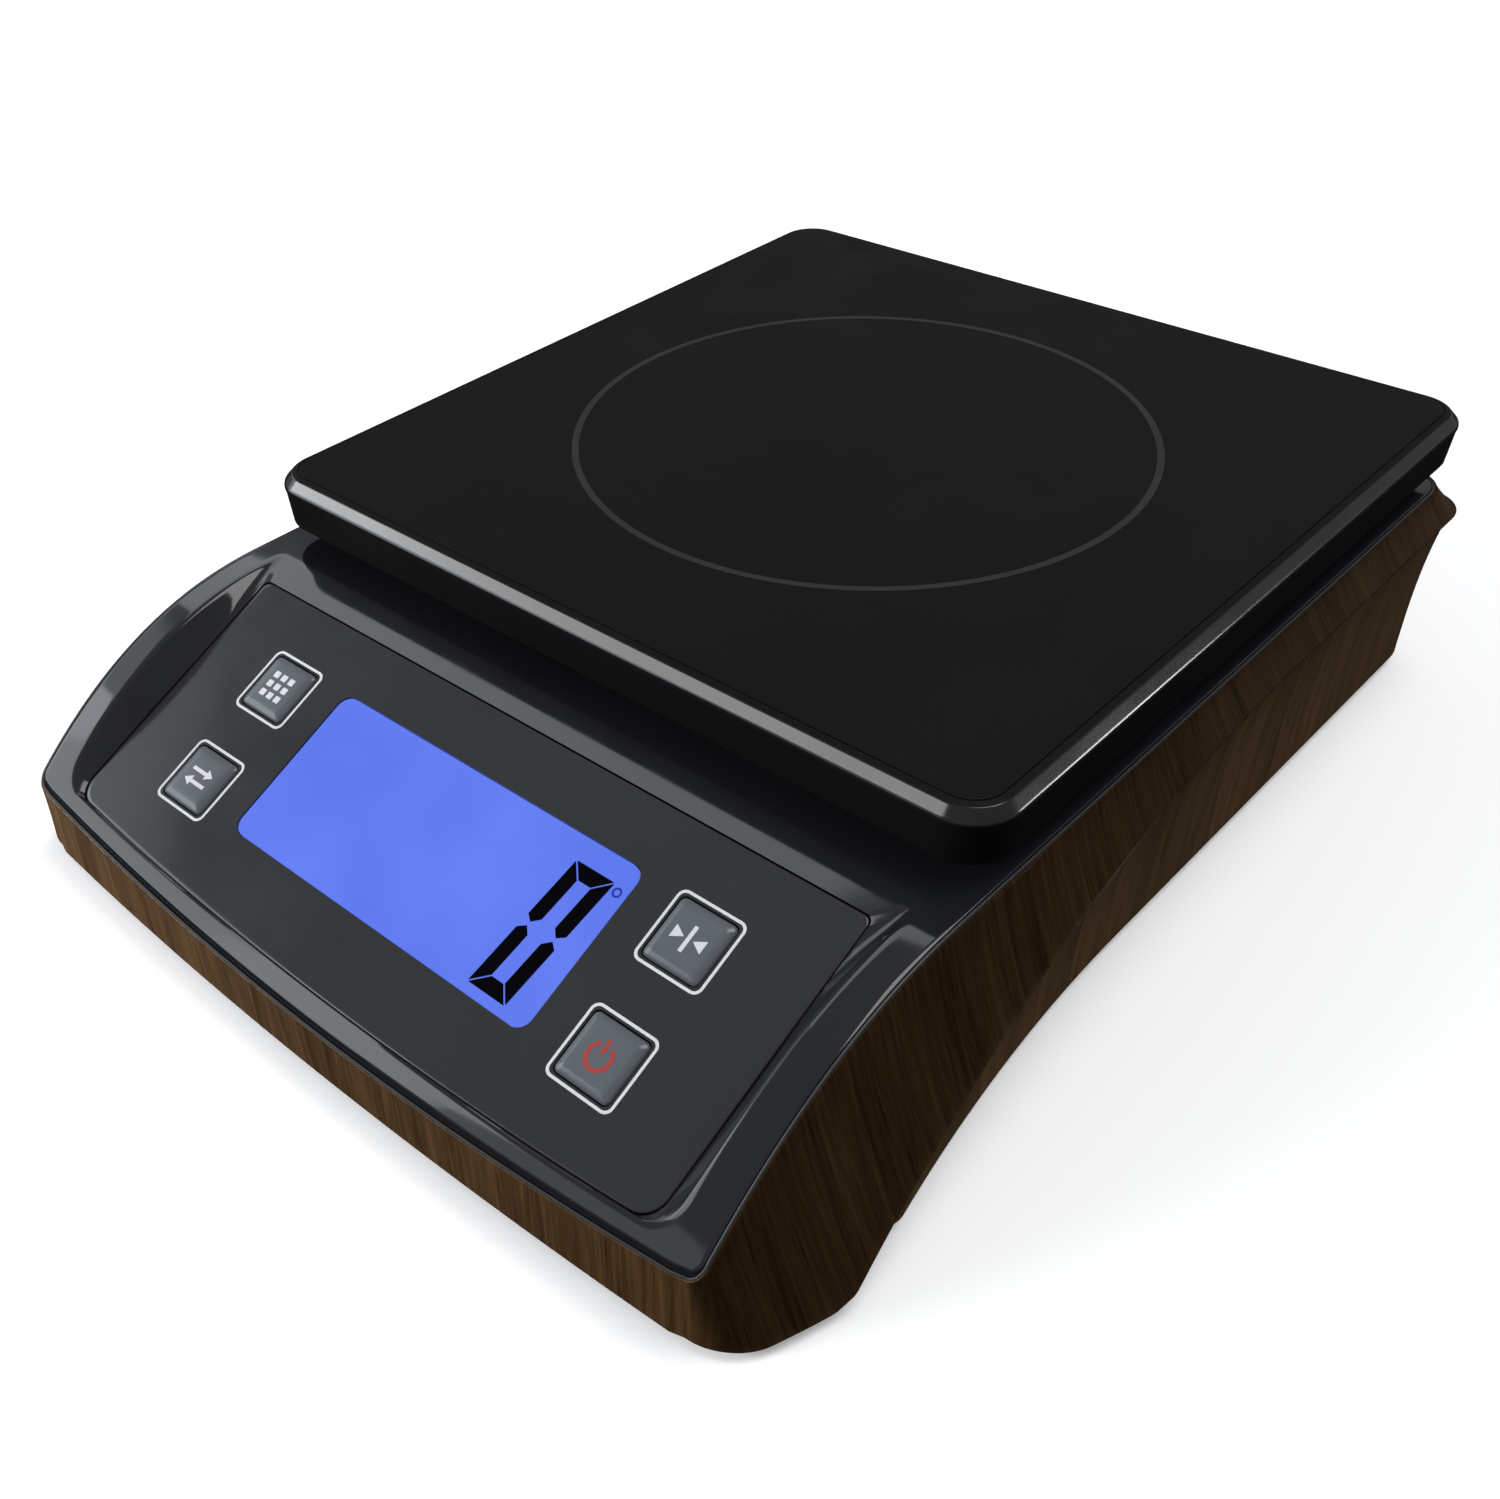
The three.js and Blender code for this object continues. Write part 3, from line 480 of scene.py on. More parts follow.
# How far each edge of the bead lies inside the deck's edge and below it.
BEAD_SECTION = [(0.86, 0.7), (0.3, 0.7), (0.28, 0.4), (0.38, 0.18), (0.5, 0.1), (0.65, 0.1),
                (0.86, 0.25)]


def build_edge_bead():
    """The thin bead between the gloss deck and the wood-look skirt; its light grey is a painted
    highlight along the deck's edge.
    """
    rings = [skirt_ring(0, inward, drop) for inward, drop in BEAD_SECTION]
    return show("edge_bead", to_mesh("edge_bead", loft(rings, capped=False)))


# How far each ring of the shell's rounded foot lies inwards and up.
FOOT_EDGE = [(1.2, 0.0), (0.75, 0.1), (0.35, 0.35), (0.1, 0.75), (0, 1.2)]
BOSS_RADIUS, BOSS_BOTTOM, FRONT_BOSS_TOP, REAR_BOSS_TOP = 4.2, 3, 15.6, 21.6
# Each drilling's radius and the heights it runs between.
CASING_HEAD_HOLE, CASING_SCREW_HOLE = (3.3, 0, 8.3), (1.8, 7, 40)
CELL_HEAD_HOLE, CELL_SCREW_HOLE = (5.3, 0, 5.9), (3.3, 0, 12)


def drilling(x, y, radius, z0, z1):
    return prism(circle(x, y, radius), z0, z1)


def build_lower_shell():
    x, y0, y1, top, wall = (BAY[k] for k in ("x", "y0", "y1", "top", "wall"))
    rings = [shell_ring(0, inward, CASING_BOTTOM + rise) for inward, rise in FOOT_EDGE]
    rings += [shell_ring(k / 22) for k in range(1, 22)]
    rings += [shell_ring(1, 0.0), shell_ring(1, 0.4), shell_ring(1, WALL)]
    rings += [shell_ring(share, WALL) for share in (0.75, 0.35)]
    rings += [shell_ring(0, WALL, CASING_BOTTOM + FLOOR_THICKNESS)]
    shell = show("base_shell", to_mesh("base_shell", loft(rings)))
    joined = [
        block(-x - wall, x + wall, y0 - wall, y1 + wall, CASING_BOTTOM + 0.1, top + wall),
        *[lathe([(BOSS_RADIUS, BOSS_BOTTOM),
                 (BOSS_RADIUS, FRONT_BOSS_TOP if sy < 0 else REAR_BOSS_TOP)], sx, sy)
          for sx, sy in CASING_SCREWS],
    ]
    cut = [
        block(-x, x, y0, y1, 0, top),
        rod_along_y(JACK_BARREL + GAP, 122, 140, JACK_X, JACK_Z),
        *[drilling(fx, fy, FOOT_RADIUS + GAP, 0, CASING_BOTTOM + 1) for fx, fy in FEET],
        *[drilling(sx, sy, *CASING_HEAD_HOLE) for sx, sy in CASING_SCREWS],
        *[drilling(sx, sy, *CASING_SCREW_HOLE) for sx, sy in CASING_SCREWS],
        *[drilling(bx, LOAD_Y, *CELL_HEAD_HOLE) for bx in BASE_X],
        *[drilling(bx, LOAD_Y, *CELL_SCREW_HOLE) for bx in BASE_X],
    ]
    carved(shell, "UNION", joined)
    return carved(shell, "DIFFERENCE", cut)


FOOT_PROFILE = [(2.6, 0.5), (3.4, 0.4), (3.8, 0.05), (4.2, 0), (6.2, 0), (6.7, 0.12), (6.95, 0.5),
                (7, 1.0), (7, 2.7)]     # radius and height


def build_foot(k, x, y):
    return show(f"rubber_foot_{k}", to_mesh(f"rubber_foot_{k}", lathe(FOOT_PROFILE, x, y)))


# ---- Weighing plate ------------------------------------------------------------------------


def plate_ring(margin, z):
    return at(rounded_rectangle(PLATE_HALF_WIDTH - margin, PLATE_HALF_DEPTH - margin,
                                PLATE_CORNER - margin, 0, PLATE_Y, PLATE_STEPS), z)


# Each pair is how far a ring lies inside the plate's edge and how far below its top.
EDGE_ROLL = [(0.2, 4.0), (0, 3.2), (0.03, 2.8), (0.14, 2.45), (0.32, 2.18), (0.5, 2.0),
             (0.58, 1.92), (1.82, 0.68), (1.9, 0.6), (2.1, 0.46), (2.4, 0.34)]
RIM_LINE = [(3.3, 0.1), (3.34, 0.32), (3.6, 0.32), (3.64, 0.06), (3.74, 0.0), (4.2, 0.0)]
FACET_DROPS = (0.5, 3.1)        # the glossy facet lies this far below the top
FACET_NORMAL_Z = (0.1, 0.9)     # and faces neither straight up nor straight out
PLATE_STEPS = 18
COLLAR_RADII, COLLAR_LENGTH = (6.9, 8.8), 3


def build_plate():
    inner = [(3.8, PLATE_CEILING), (4.2, PLATE_BOTTOM + 0.3), (3.9, PLATE_BOTTOM)]
    outer = [(1.3, PLATE_BOTTOM), (0.9, PLATE_BOTTOM + 0.12), (0.75, PLATE_BOTTOM + 0.5)]
    top = [(margin, PLATE_TOP - below) for margin, below in EDGE_ROLL + RIM_LINE]
    tray = loft([plate_ring(margin, z) for margin, z in inner + outer + top])
    collars = [tube(x, y, *COLLAR_RADII, PLATE_CEILING - COLLAR_LENGTH, PLATE_CEILING + 1)
               for x, y in corners(PAD_REACH)]
    return show("plate_shell", to_mesh("plate_shell", tray, *collars))


def gloss_the_plate_edge(plate, material):
    """The edge facet is smoother than the rest of the plate."""
    plate.data.materials.append(material)
    low, high = ((PLATE_TOP - drop) * MM for drop in reversed(FACET_DROPS))
    least, most = FACET_NORMAL_Z
    for polygon in plate.data.polygons:
        on_facet = low < polygon.center.z < high and least < polygon.normal.z < most
        polygon.material_index = int(on_facet)


RING_X, RING_Y, RING_RADIUS = -2, PLATE_Y - 0.5, 62.6
RING_WIDTH, RING_PROUD, RING_STEPS = 1.5, 0.03, 160


def build_plate_ring():
    outer, inner = (circle(RING_X, RING_Y, RING_RADIUS + side * RING_WIDTH / 2, RING_STEPS)
                    for side in (1, -1))
    shell = band(outer, inner, PLATE_TOP - 0.2, PLATE_TOP + RING_PROUD)
    return show("plate_ring", to_mesh("plate_ring", shell))


# ---- Display, keys and prints --------------------------------------------------------------


def build_panel():
    rings = [at(panel_outline(margin), z) for margin, z in
             ((0, -PANEL_THICKNESS), (0, -0.3), (0.08, -0.1), (0.3, 0))]
    sheet = to_mesh("panel_sheet", on_panel(loft([*rings, at(panel_outline(0.8), 0)])))
    cutters = panel_cutters(*SHEET_CUT, SHEET_WINDOW_GROW, LCD_CORNER)
    return carved(show("panel_sheet", sheet), "DIFFERENCE", cutters)


def build_window():
    loops = [rounded_rectangle(LCD_WIDTH / 2 - m, LCD_HEIGHT / 2 - m, LCD_CORNER - m, 0, LCD_Y)
             for m in (0, 0, 0.15, 0.5)]
    heights = (-PANEL_THICKNESS, -0.3, -0.15, -0.15)
    shell = loft([at(loop, z) for loop, z in zip(loops, heights)])
    return show("lcd_window", to_mesh("lcd_window", on_panel(shell)))


def rounded_square(half, radius, x, y):
    return rounded_rectangle(half, half, radius, x, y, 8)


def build_key(name, x, y):
    flange_top = PAN_FLOOR_BOTTOM - GAP
    half = KEY_SIZE / 2
    stem = [(1.6, 0.4, flange_top - 1.5), (1.6, 0.4, flange_top - 1.2)]
    flange = [(7.5, 1.2, flange_top - 1.2), (7.5, 1.2, flange_top)]
    cap = [(half, 1.1, flange_top), (half, 1.1, -0.1), (half - 0.12, 1.05, 0.15),
           (half - 0.45, 1.0, 0.42), (half - 1.15, 0.8, 0.72), (half - 1.35, 0.7, 0.8),
           (half - 1.6, 0.6, 0.84), (half - 2.6, 0.5, 0.87)]
    rings = [at(rounded_square(size, radius, x, y), z) for size, radius, z in stem + flange + cap]
    return show(f"key_cap_{name}", to_mesh(f"key_cap_{name}", on_panel(loft(rings))))


FRAME_OUTER, FRAME_INNER = (7.5, 1.7), (6.95, 1.25)     # half width and corner
FRAME_BOTTOM, FRAME_TOP = -0.1, 0.04


def build_key_frame(name, x, y):
    outer, inner = rounded_square(*FRAME_OUTER, x, y), rounded_square(*FRAME_INNER, x, y)
    shell = on_panel(band(outer, inner, FRAME_BOTTOM, FRAME_TOP))
    return show(f"key_frame_{name}", to_mesh(f"key_frame_{name}", shell))


def stroke(points, width):
    """A flat bar along a line of points, as a closed outline."""
    left, right = [], []
    for k, (x, y) in enumerate(points):
        ax, ay = points[max(k - 1, 0)]
        bx, by = points[min(k + 1, len(points) - 1)]
        length = math.hypot(bx - ax, by - ay)
        nx, ny = -(by - ay) / length * width / 2, (bx - ax) / length * width / 2
        left.append((x + nx, y + ny))
        right.append((x - nx, y - ny))
    return right + left[::-1]


PRINT_BOTTOM, PRINT_TOP = 0.8, 0.9
STROKE, POWER_GAP = 0.8, 32     # line width, and the half gap of the power ring in degrees


def symbol_shapes(name):
    """Outlines of a key's symbol about its own middle."""
    if name == "rear_left":     # a grid of pieces: counting
        return [rounded_rectangle(0.75, 0.75, 0.2, a * 2.3, b * 2.3, 4)
                for a in (-1, 0, 1) for b in (-1, 0, 1)]
    if name == "front_left":    # two opposite arrows: change the unit
        arrow = [(-3, 0.9), (1.2, 0.9), (1.2, 0.1), (3.2, 1.3), (1.2, 2.5), (1.2, 1.7), (-3, 1.7)]
        return [arrow, [(-x, -y) for x, y in arrow]]
    if name == "rear_right":    # two arrows on to a line: set to zero
        head = [(-3.4, 1.3), (-1.0, 0), (-3.4, -1.3)]
        return [stroke([(0, 2.6), (0, -2.6)], STROKE), head[::-1], [(-x, y) for x, y in head]]
    ring = stroke(arc(0, -0.3, 2.4, 90 + POWER_GAP, 450 - POWER_GAP, 30), STROKE)
    return [ring, stroke([(0, 3.0), (0, 0.4)], STROKE)]


def build_symbol(name, x, y):
    shells = [on_panel(prism([(x + px, y + py) for px, py in loop], PRINT_BOTTOM, PRINT_TOP))
              for loop in symbol_shapes(name)]
    return show(f"symbol_{name}", to_mesh(f"symbol_{name}", *shells))


DIGIT = {"x": 25.5, "y": -45.4, "width": 9.4, "height": 28.4, "bar": 3.05, "gap": 0.2,
         "lean": 0.085}
MARK_X, MARK_Y, MARK_RADII = 38.8, -18.3, (1.0, 0.6)
INK_BOTTOM, INK_TOP = -0.3, -0.12


def digit_bars():
    """The six lit bars of a leaning figure nought, about its lower left corner."""
    w, h, t, g = (DIGIT[k] for k in ("width", "height", "bar", "gap"))
    top = [(g, h), (w - g, h), (w - t - g, h - t), (t + g, h - t)]
    upper_left = [(0, h - g), (t, h - t - g), (t, h / 2 + t * 0.6), (t / 2, h / 2 + g * 2),
                  (0, h / 2 + t / 2)]
    bars = []
    for bar in (top, upper_left):
        for flip_x in (False, True):
            for flip_y in (False, True):
                if bar is top and flip_x:
                    continue
                bars.append([(w - x if flip_x else x, h - y if flip_y else y) for x, y in bar])
    return bars


def build_digit():
    shells = []
    for bar in digit_bars():
        loop = [(DIGIT["x"] + x + y * DIGIT["lean"], DIGIT["y"] + y) for x, y in bar]
        shells.append(on_panel(prism(loop, INK_BOTTOM, INK_TOP)))
    return show("lcd_digit", to_mesh("lcd_digit", *shells))


def build_unit_mark():
    outer, inner = (circle(MARK_X, MARK_Y, radius, 32) for radius in MARK_RADII)
    shell = band(outer, inner, INK_BOTTOM, INK_TOP)
    return show("lcd_mark", to_mesh("lcd_mark", on_panel(shell)))


# ---- Materials -----------------------------------------------------------------------------


class Finish:
    """A Principled material with a few procedural layers."""

    def __init__(self, name, colour, roughness, **sockets):
        self.material = bpy.data.materials.new(name)
        self.material.use_nodes = True
        self.tree = self.material.node_tree
        self.shader = self.tree.nodes["Principled BSDF"]
        self.colour, self.roughness = colour, roughness
        self.shader.inputs["Base Color"].default_value = (*colour, 1)
        self.shader.inputs["Roughness"].default_value = roughness
        for key, value in sockets.items():
            self.shader.inputs[key.replace("_", " ")].default_value = value
        self.place = self.add("ShaderNodeTexCoord").outputs["Object"]
        self.normal = None

    def add(self, kind, **settings):
        node = self.tree.nodes.new(kind)
        for key, value in settings.items():
            setattr(node, key, value)
        return node

    def link(self, output, node, socket):
        self.tree.links.new(output, node.inputs[socket])

    def noise(self, scale, detail=4.0, roughness=0.5, stretch=(1, 1, 1), turn=(0, 0, 0),
              distortion=0.0):
        """Noise in the object's own metres: scale in lumps per metre, stretch squeezes an axis."""
        mapping = self.add("ShaderNodeMapping")
        mapping.inputs["Scale"].default_value = [scale * s for s in stretch]
        mapping.inputs["Rotation"].default_value = [math.radians(t) for t in turn]
        self.link(self.place, mapping, "Vector")
        noise = self.add("ShaderNodeTexNoise")
        noise.inputs["Scale"].default_value = 1
        noise.inputs["Detail"].default_value = detail
        noise.inputs["Roughness"].default_value = roughness
        noise.inputs["Distortion"].default_value = distortion
        self.link(mapping.outputs[0], noise, "Vector")
        return noise.outputs["Fac"]

    def ranged(self, value, low, high, start=0.3, end=0.7):
        node = self.add("ShaderNodeMapRange")
        ends = {"From Min": start, "From Max": end, "To Min": low, "To Max": high}
        for key, number in ends.items():
            node.inputs[key].default_value = number
        self.link(value, node, "Value")
        return node.outputs[0]

    def ramp(self, value, stops):
        node = self.add("ShaderNodeValToRGB")
        elements = node.color_ramp.elements
        while len(elements) < len(stops):
            elements.new(1)
        for element, (place, colour) in zip(elements, stops):
            element.position, element.color = place, (*colour, 1)
        self.link(value, node, "Fac")
        return node.outputs[0]

    def blend(self, factor, first, second, kind="MIX"):
        node = self.add("ShaderNodeMix", data_type="RGBA", blend_type=kind)
        sockets = [s for s in node.inputs if s.type == "RGBA"]
        for socket, value in zip(sockets, (first, second)):
            if isinstance(value, tuple):
                socket.default_value = (*value, 1)
            else:
                self.tree.links.new(value, socket)
        if isinstance(factor, float):
            node.inputs[0].default_value = factor
        else:
            self.tree.links.new(factor, node.inputs[0])
        return next(s for s in node.outputs if s.type == "RGBA")

    def bump(self, height, depth, strength=1.0):
        """Raises the surface by up to depth metres."""
        node = self.add("ShaderNodeBump")
        node.inputs["Distance"].default_value = depth
        node.inputs["Strength"].default_value = strength
        self.link(height, node, "Height")
        if self.normal is not None:
            self.link(self.normal, node, "Normal")
        self.normal = node.outputs[0]
        self.link(self.normal, self.shader, "Normal")
        return self

    def vary_roughness(self, value, spread):
        low, high = self.roughness - spread, self.roughness + spread
        self.link(self.ranged(value, low, high), self.shader, "Roughness")
        return self

    def vary_colour(self, value, amount):
        dark = tuple(c * (1 - amount) for c in self.colour)
        light = tuple(min(c * (1 + amount), 1) for c in self.colour)
        self.link(self.blend(self.ranged(value, 0, 1), dark, light), self.shader, "Base Color")
        return self


def moulded(name, colour, roughness, grain=2600, depth=6e-5, **sockets):
    """Moulded plastic: fine texture, soft blotches in the gloss."""
    finish = Finish(name, colour, roughness, **sockets)
    finish.vary_roughness(finish.noise(55, 3), roughness * 0.16)
    finish.vary_colour(finish.noise(24, 3), 0.07)
    return finish.bump(finish.noise(grain, 2), depth, 0.35)


def metal(name, colour, roughness, brushed=(1, 1, 14)):
    finish = Finish(name, colour, roughness, Metallic=1.0)
    finish.vary_roughness(finish.noise(160, 4, stretch=brushed), roughness * 0.3)
    finish.vary_colour(finish.noise(40, 4), 0.08)
    return finish.bump(finish.noise(600, 3, stretch=brushed), 2e-5, 0.4)


def wood(name, dark, middle, light, roughness):
    """Printed walnut: fine upright grain, pores and broad streaks of tone."""
    finish = Finish(name, middle, roughness, Specular_IOR_Level=0.1)
    finish.place = finish.add("ShaderNodeUVMap", uv_map="grain").outputs[0]
    lean = (0, 0, -4)
    fine = finish.noise(1100, 5, 0.62, (1, 0.035, 1), lean, 0.3)
    streaks = finish.noise(260, 4, 0.6, (1, 0.05, 1), lean, 0.8)
    broad = finish.noise(45, 3, 0.5, (1, 0.25, 1), lean, 0.5)
    grain = finish.ramp(fine, [(0.32, dark), (0.52, middle), (0.70, light)])
    low, high = tuple(c * 0.55 for c in middle), tuple(min(c * 1.45, 1) for c in middle)
    tone = finish.ramp(streaks, [(0.34, low), (0.66, high)])
    colour = finish.blend(0.55, grain, tone)
    shade = finish.ranged(broad, 0.75, 1.15)
    colour = finish.blend(1.0, colour, shade, "MULTIPLY")
    pores = finish.noise(2600, 2, 0.5, (1, 0.022, 1), lean)
    pore_mask = finish.ranged(pores, 0.0, 0.7, 0.58, 0.72)
    colour = finish.blend(pore_mask, colour, tuple(c * 0.3 for c in dark))
    finish.link(colour, finish.shader, "Base Color")
    finish.vary_roughness(streaks, 0.07)
    finish.bump(fine, 5e-5, 0.5)
    return finish.bump(pores, 3e-5, 0.3)


def gloss(name, colour, roughness, wave, **sockets):
    """Gloss moulding: a faint large waviness and dust-fine haze."""
    finish = Finish(name, colour, roughness, **sockets)
    finish.vary_roughness(finish.noise(70, 4), roughness * 0.35)
    finish.vary_colour(finish.noise(18, 2), 0.08)
    return finish.bump(finish.noise(28, 2, distortion=0.6), wave, 0.6)


def display_finish():
    """The lit blue window: nearly even light with a faint cell texture."""
    finish = Finish("lcd_blue", (0.01, 0.014, 0.05), 0.2, Specular_IOR_Level=0.2)
    tint = finish.ramp(finish.noise(38, 2),
                       [(0.35, (0.103, 0.178, 0.83)), (0.65, (0.126, 0.206, 0.88))])
    cell = finish.ranged(finish.noise(2200, 1), 0.9, 1.0)
    light = finish.blend(0.35, tint, finish.blend(1.0, tint, cell, "MULTIPLY"))
    finish.link(light, finish.shader, "Emission Color")
    finish.shader.inputs["Emission Strength"].default_value = 0.98
    return finish


def make_materials():
    return {
        "platform_black": moulded("platform_black", (0.0050, 0.0050, 0.0052), 0.5,
                                  Specular_IOR_Level=0.05),
        "platform_edge": moulded("platform_edge", (0.0062, 0.0062, 0.0064), 0.17, 900, 1e-5),
        "ring_grey": moulded("ring_grey", (0.026, 0.026, 0.0265), 0.5, Specular_IOR_Level=0.1),
        "deck_gloss": gloss("deck_gloss", (0.0100, 0.0105, 0.0125), 0.08, 2e-5),
        # The bead's light grey is a painted highlight along the deck's edge.
        "edge_bead": moulded("edge_bead", (0.030, 0.030, 0.032), 0.35),
        "panel_gloss": gloss("panel_gloss", (0.0215, 0.0221, 0.0243), 0.14, 5e-5),
        # One walnut in two copies: wood_shell is the lighter copy, painted light that makes up for
        # the shade under the skirt's overhang; wood_casing is the darker copy.
        "wood_casing": wood("wood_casing", (0.010, 0.0045, 0.0014), (0.036, 0.0185, 0.0068),
                            (0.074, 0.041, 0.0170), 0.46),
        "wood_shell": wood("wood_shell", (0.085, 0.047, 0.0195), (0.140, 0.080, 0.0350),
                           (0.190, 0.113, 0.0520), 0.5),
        "key_grey": gloss("key_grey", (0.092, 0.102, 0.118), 0.22, 3e-5),
        "print_white": moulded("print_white", (0.60, 0.61, 0.63), 0.42),
        "print_red": moulded("print_red", (0.34, 0.04, 0.035), 0.4),
        "lcd_window": display_finish(),
        "lcd_ink": moulded("lcd_ink", (0.001, 0.001, 0.002), 0.6, Specular_IOR_Level=0.02),
        "lcd_faint": moulded("lcd_faint", (0.02, 0.03, 0.30), 0.6, Specular_IOR_Level=0.05),
        "rubber": moulded("rubber", (0.018, 0.018, 0.018), 0.82, 1500, 1e-4),
        "aluminium": metal("aluminium", (0.62, 0.63, 0.65), 0.36),
        "steel": metal("steel", (0.48, 0.49, 0.51), 0.3, (1, 1, 1)),
        "circuit_board": moulded("circuit_board", (0.012, 0.085, 0.035), 0.38),
        "black_plastic": moulded("black_plastic", (0.022, 0.022, 0.024), 0.55),
        "battery_sleeve": gloss("battery_sleeve", (0.36, 0.19, 0.06), 0.28, 2e-5, Metallic=0.4),
        "cable_sheath": moulded("cable_sheath", (0.25, 0.25, 0.26), 0.55),
        "lcd_face": moulded("lcd_face", (0.10, 0.16, 0.55), 0.3),
        "light_guide": moulded("light_guide", (0.75, 0.76, 0.78), 0.4),
    }


# ---- Putting it together -------------------------------------------------------------------


HOUSING, PLATE_BODY = "housing", "plate"


def body_of_key(name):
    return f"{name}_key"


def build_visible(finishes):
    def put(piece, body, slot, finish, *stands_for):
        return finish_piece(piece, body, finishes[finish].material, stands_for)

    plate = put(build_plate(), PLATE_BODY, "platform_black", "platform_black", "weighing_plate")
    gloss_the_plate_edge(plate, finishes["platform_edge"].material)
    put(build_plate_ring(), PLATE_BODY, "platform_black", "ring_grey")
    put(build_top_cover(), HOUSING, "deck_gloss", "deck_gloss", "top_cover")
    skirt = put(build_skirt(), HOUSING, "wood_casing", "wood_casing", "side_casing")
    add_grain_map(skirt.data)
    put(build_edge_bead(), HOUSING, "deck_gloss", "edge_bead")
    shell = put(build_lower_shell(), HOUSING, "wood_shell", "wood_shell", "lower_shell")
    add_grain_map(shell.data)
    for k, (x, y) in enumerate(FEET, 1):
        put(build_foot(k, x, y), HOUSING, "rubber", "rubber", f"foot_{k}")
    put(build_panel(), HOUSING, "panel_gloss", "panel_gloss", "display_panel")
    put(build_window(), HOUSING, "lcd_window", "lcd_window", "lcd_glass")
    put(build_digit(), HOUSING, "lcd_window", "lcd_ink")
    put(build_unit_mark(), HOUSING, "lcd_window", "lcd_faint")
    for name, x, y in KEYS:
        put(build_key(name, x, y), body_of_key(name), "key_grey", "key_grey", f"key_{name}")
        put(build_key_frame(name, x, y), HOUSING, "panel_gloss", "print_white")
        ink = "print_red" if name == "front_right" else "print_white"
        put(build_symbol(name, x, y), body_of_key(name), "key_grey", ink)


WELD_REACH, EDGE_SOFTENING, SOFTENED_ANGLE = 1e-6, 0.0002, 40    # metres and degrees


def dress_cad_nodes(finishes):
    """Materials and softened edges for the CAD nodes that stay."""
    slots = {row["node"]: row["material_slot"] for row in frame["record"]["subparts"]}
    for name, node in frame["nodes"].items():
        if node.hide_render:
            continue
        node.data.materials.clear()
        node.data.materials.append(finishes[slots[name]].material)
        if slots[name].startswith("wood"):
            add_grain_map(node.data)
        weld = node.modifiers.new("weld", "WELD")
        weld.merge_threshold = WELD_REACH
        bevel = node.modifiers.new("edges", "BEVEL")
        bevel.width, bevel.segments, bevel.limit_method = EDGE_SOFTENING, 2, "ANGLE"
        bevel.angle_limit = math.radians(SOFTENED_ANGLE)


# ---- Stage, light and camera ---------------------------------------------------------------

CAMERA_PLACE = (0.18925, -0.23070, 0.22852)
CAMERA_TURN, CAMERA_TILT, CAMERA_ROLL = 45.10, 50.77, -3.04
LENS, SHIFT_X, SHIFT_Y = 39.25, 0.0777, 0.0318


def set_camera():
    data = bpy.data.cameras.new("camera")
    data.lens, data.sensor_width, data.shift_x, data.shift_y = LENS, 36, SHIFT_X, SHIFT_Y
    data.clip_start, data.clip_end = 0.01, 20
    camera = bpy.data.objects.new("camera", data)
    bpy.context.scene.collection.objects.link(camera)
    turn = [Matrix.Rotation(math.radians(a), 4, axis)
            for a, axis in ((CAMERA_TURN, "Z"), (CAMERA_TILT, "X"), (CAMERA_ROLL, "Z"))]
    camera.matrix_world = Matrix.Translation(CAMERA_PLACE) @ turn[0] @ turn[1] @ turn[2]
    bpy.context.scene.camera = camera


FLOOR_SIZE, FLOOR_BANDS, FLOOR_GLOW = 8000, 6, 0.25


def set_floor():
    """A round pale floor of flat bands."""
    shares = [(k + 0.5) / FLOOR_BANDS for k in range(FLOOR_BANDS)]
    points, faces = loft([at(circle(0, 0, FLOOR_SIZE * share, 64), 0) for share in shares])
    bands_and_middle = faces[:-1]       # the last face would cover them all again
    floor = show("floor", to_mesh("floor", (points, bands_and_middle)))
    finish = Finish("floor_pale", (0.95, 0.95, 0.95), 0.7, Specular_IOR_Level=0.1)
    finish.shader.inputs["Emission Color"].default_value = (1, 1, 1, 1)
    finish.shader.inputs["Emission Strength"].default_value = FLOOR_GLOW
    floor.data.materials.append(finish.material)
    floor.visible_diffuse = floor.visible_glossy = False   # no bounce up on to the dark sides


def add_softbox(name, aim, place, size, radiance, colour, roll, only):
    """A rectangular light of the given radiance. It lights only the named pieces, if any."""
    data = bpy.data.lights.new(name, "AREA")
    data.shape, data.size, data.size_y = "RECTANGLE", size[0], size[1]
    data.energy, data.color = math.pi * size[0] * size[1] * radiance, colour
    light = bpy.data.objects.new(name, data)
    facing = (Vector(aim) - Vector(place)).to_track_quat("-Z", "Y").to_matrix().to_4x4()
    light.matrix_world = (Matrix.Translation(place) @ facing
                          @ Matrix.Rotation(math.radians(roll), 4, "Z"))
    bpy.context.scene.collection.objects.link(light)
    if only:
        receivers = bpy.data.collections.new(f"lit_by_{name}")
        for piece in only:
            receivers.objects.link(bpy.data.objects[piece])
        light.light_linking.receiver_collection = receivers
    return light


ROOM_COLOUR = (0.93, 0.96, 1.0, 1)
ROOM_RAMP = {"From Min": -0.04, "From Max": 0.06, "To Min": 0.03, "To Max": 0.32}


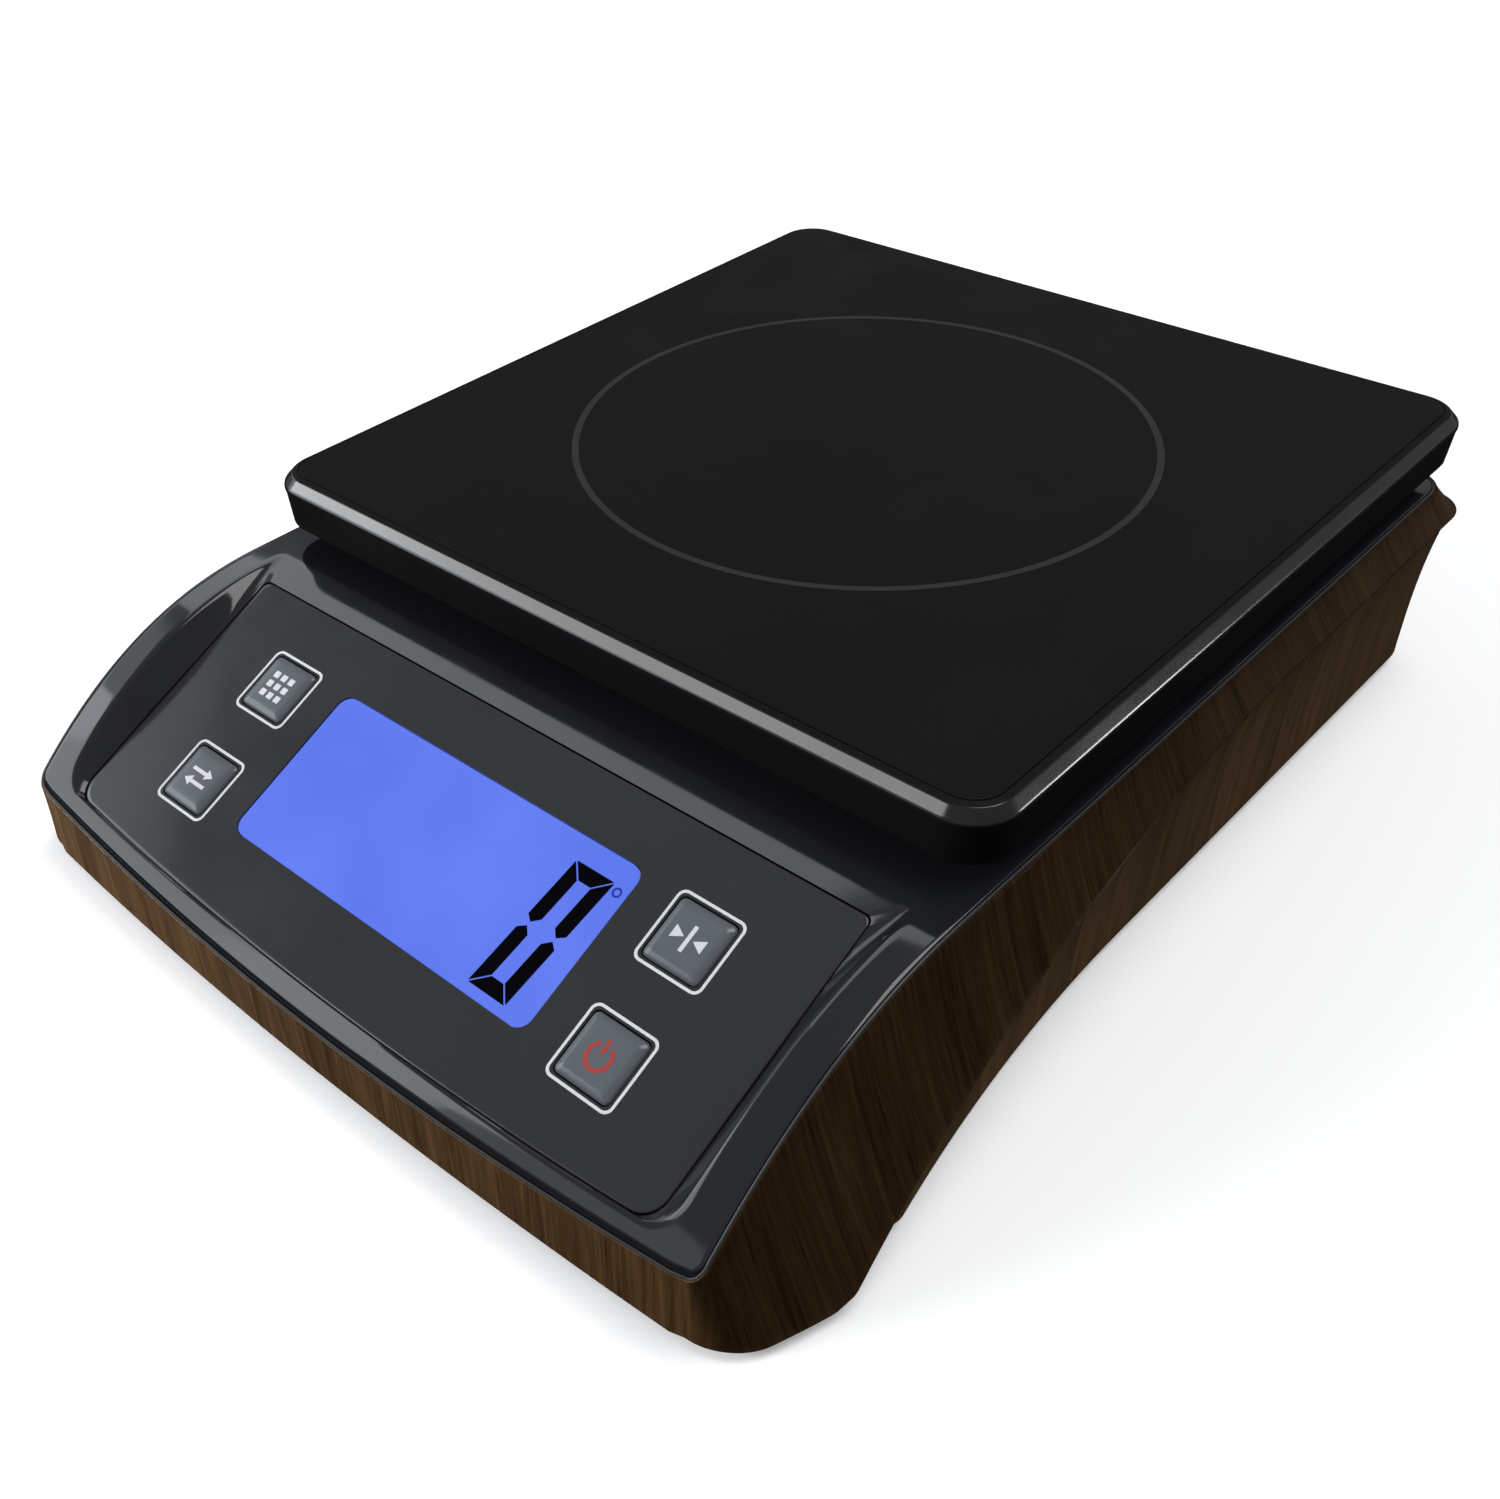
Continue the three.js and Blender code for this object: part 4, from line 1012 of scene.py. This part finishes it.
def set_world():
    """A soft room: pale above the horizon, nearly dark below it."""
    world = bpy.data.worlds.new("studio")
    world.use_nodes = True
    tree = world.node_tree
    direction = tree.nodes.new("ShaderNodeTexCoord").outputs["Generated"]
    height = tree.nodes.new("ShaderNodeSeparateXYZ")
    tree.links.new(direction, height.inputs[0])
    ramp = tree.nodes.new("ShaderNodeMapRange")
    for key, number in ROOM_RAMP.items():
        ramp.inputs[key].default_value = number
    tree.links.new(height.outputs["Z"], ramp.inputs["Value"])
    background = tree.nodes["Background"]
    background.inputs["Color"].default_value = ROOM_COLOUR
    tree.links.new(ramp.outputs[0], background.inputs["Strength"])
    bpy.context.scene.world = world


COOL, NEUTRAL = (0.88, 0.94, 1.0), (1, 1, 1)
ANY, PLATE, DECK, WOOD = (), ["plate_shell"], ["top_cover_shell"], ["skirt", "base_shell"]
MIDDLE, GROUND, PLATE_FRONT = (0, -0.06, 0.04), (0, 0, 0.05), (0, -0.06, 0.06)
PLATE_SIDE, WOOD_FRONT = (0.093, -0.03, 0.06), (-0.06, -0.13, 0.01)
# Each light's name, aim, place, size, radiance, colour, roll and the pieces it lights.
SOFTBOXES = [
    ("key", MIDDLE, (-0.70, -1.10, 0.50), (0.45, 0.30), 24, NEUTRAL, 0, ANY),
    ("overhead", GROUND, (0.35, 0.35, 1.35), (0.9, 0.9), 4.3, NEUTRAL, 0, ANY),
    ("front_left", MIDDLE, (-1.02, -0.83, 0.42), (0.90, 0.70), 2.7, COOL, 0, ANY),
    ("front_right", MIDDLE, (-0.56, -1.10, 0.52), (0.70, 0.40), 0.8, COOL, 0, ANY),
    ("left_window", MIDDLE, (-1.20, -0.30, 0.62), (0.90, 0.60), 1.1, COOL, 0, ANY),
    ("rear_left", MIDDLE, (-0.78, 0.42, 0.90), (1.00, 0.60), 1.7, COOL, 0, DECK),
    ("right_rear", MIDDLE, (0.86, 0.68, 0.48), (1.30, 0.80), 1.3, COOL, 0, DECK),
    ("edge_strip", PLATE_FRONT, (-0.66, -0.70, 0.725), (1.10, 0.34), 5.5, NEUTRAL, 19, PLATE),
    ("corner_glint", PLATE_SIDE, (0.77, 0.68, 0.26), (0.22, 0.16), 20, NEUTRAL, 0, PLATE),
    ("wood_front", WOOD_FRONT, (-0.40, -0.40, 0.10), (0.30, 0.12), 55, NEUTRAL, 0, WOOD),
]


def set_light():
    set_world()
    lights = {row[0]: add_softbox(*row) for row in SOFTBOXES}
    lights["key"].visible_glossy = False
    bpy.context.scene.view_settings.view_transform = "Standard"


finishes = make_materials()
build_visible(finishes)
dress_cad_nodes(finishes)
set_floor()
set_light()
set_camera()
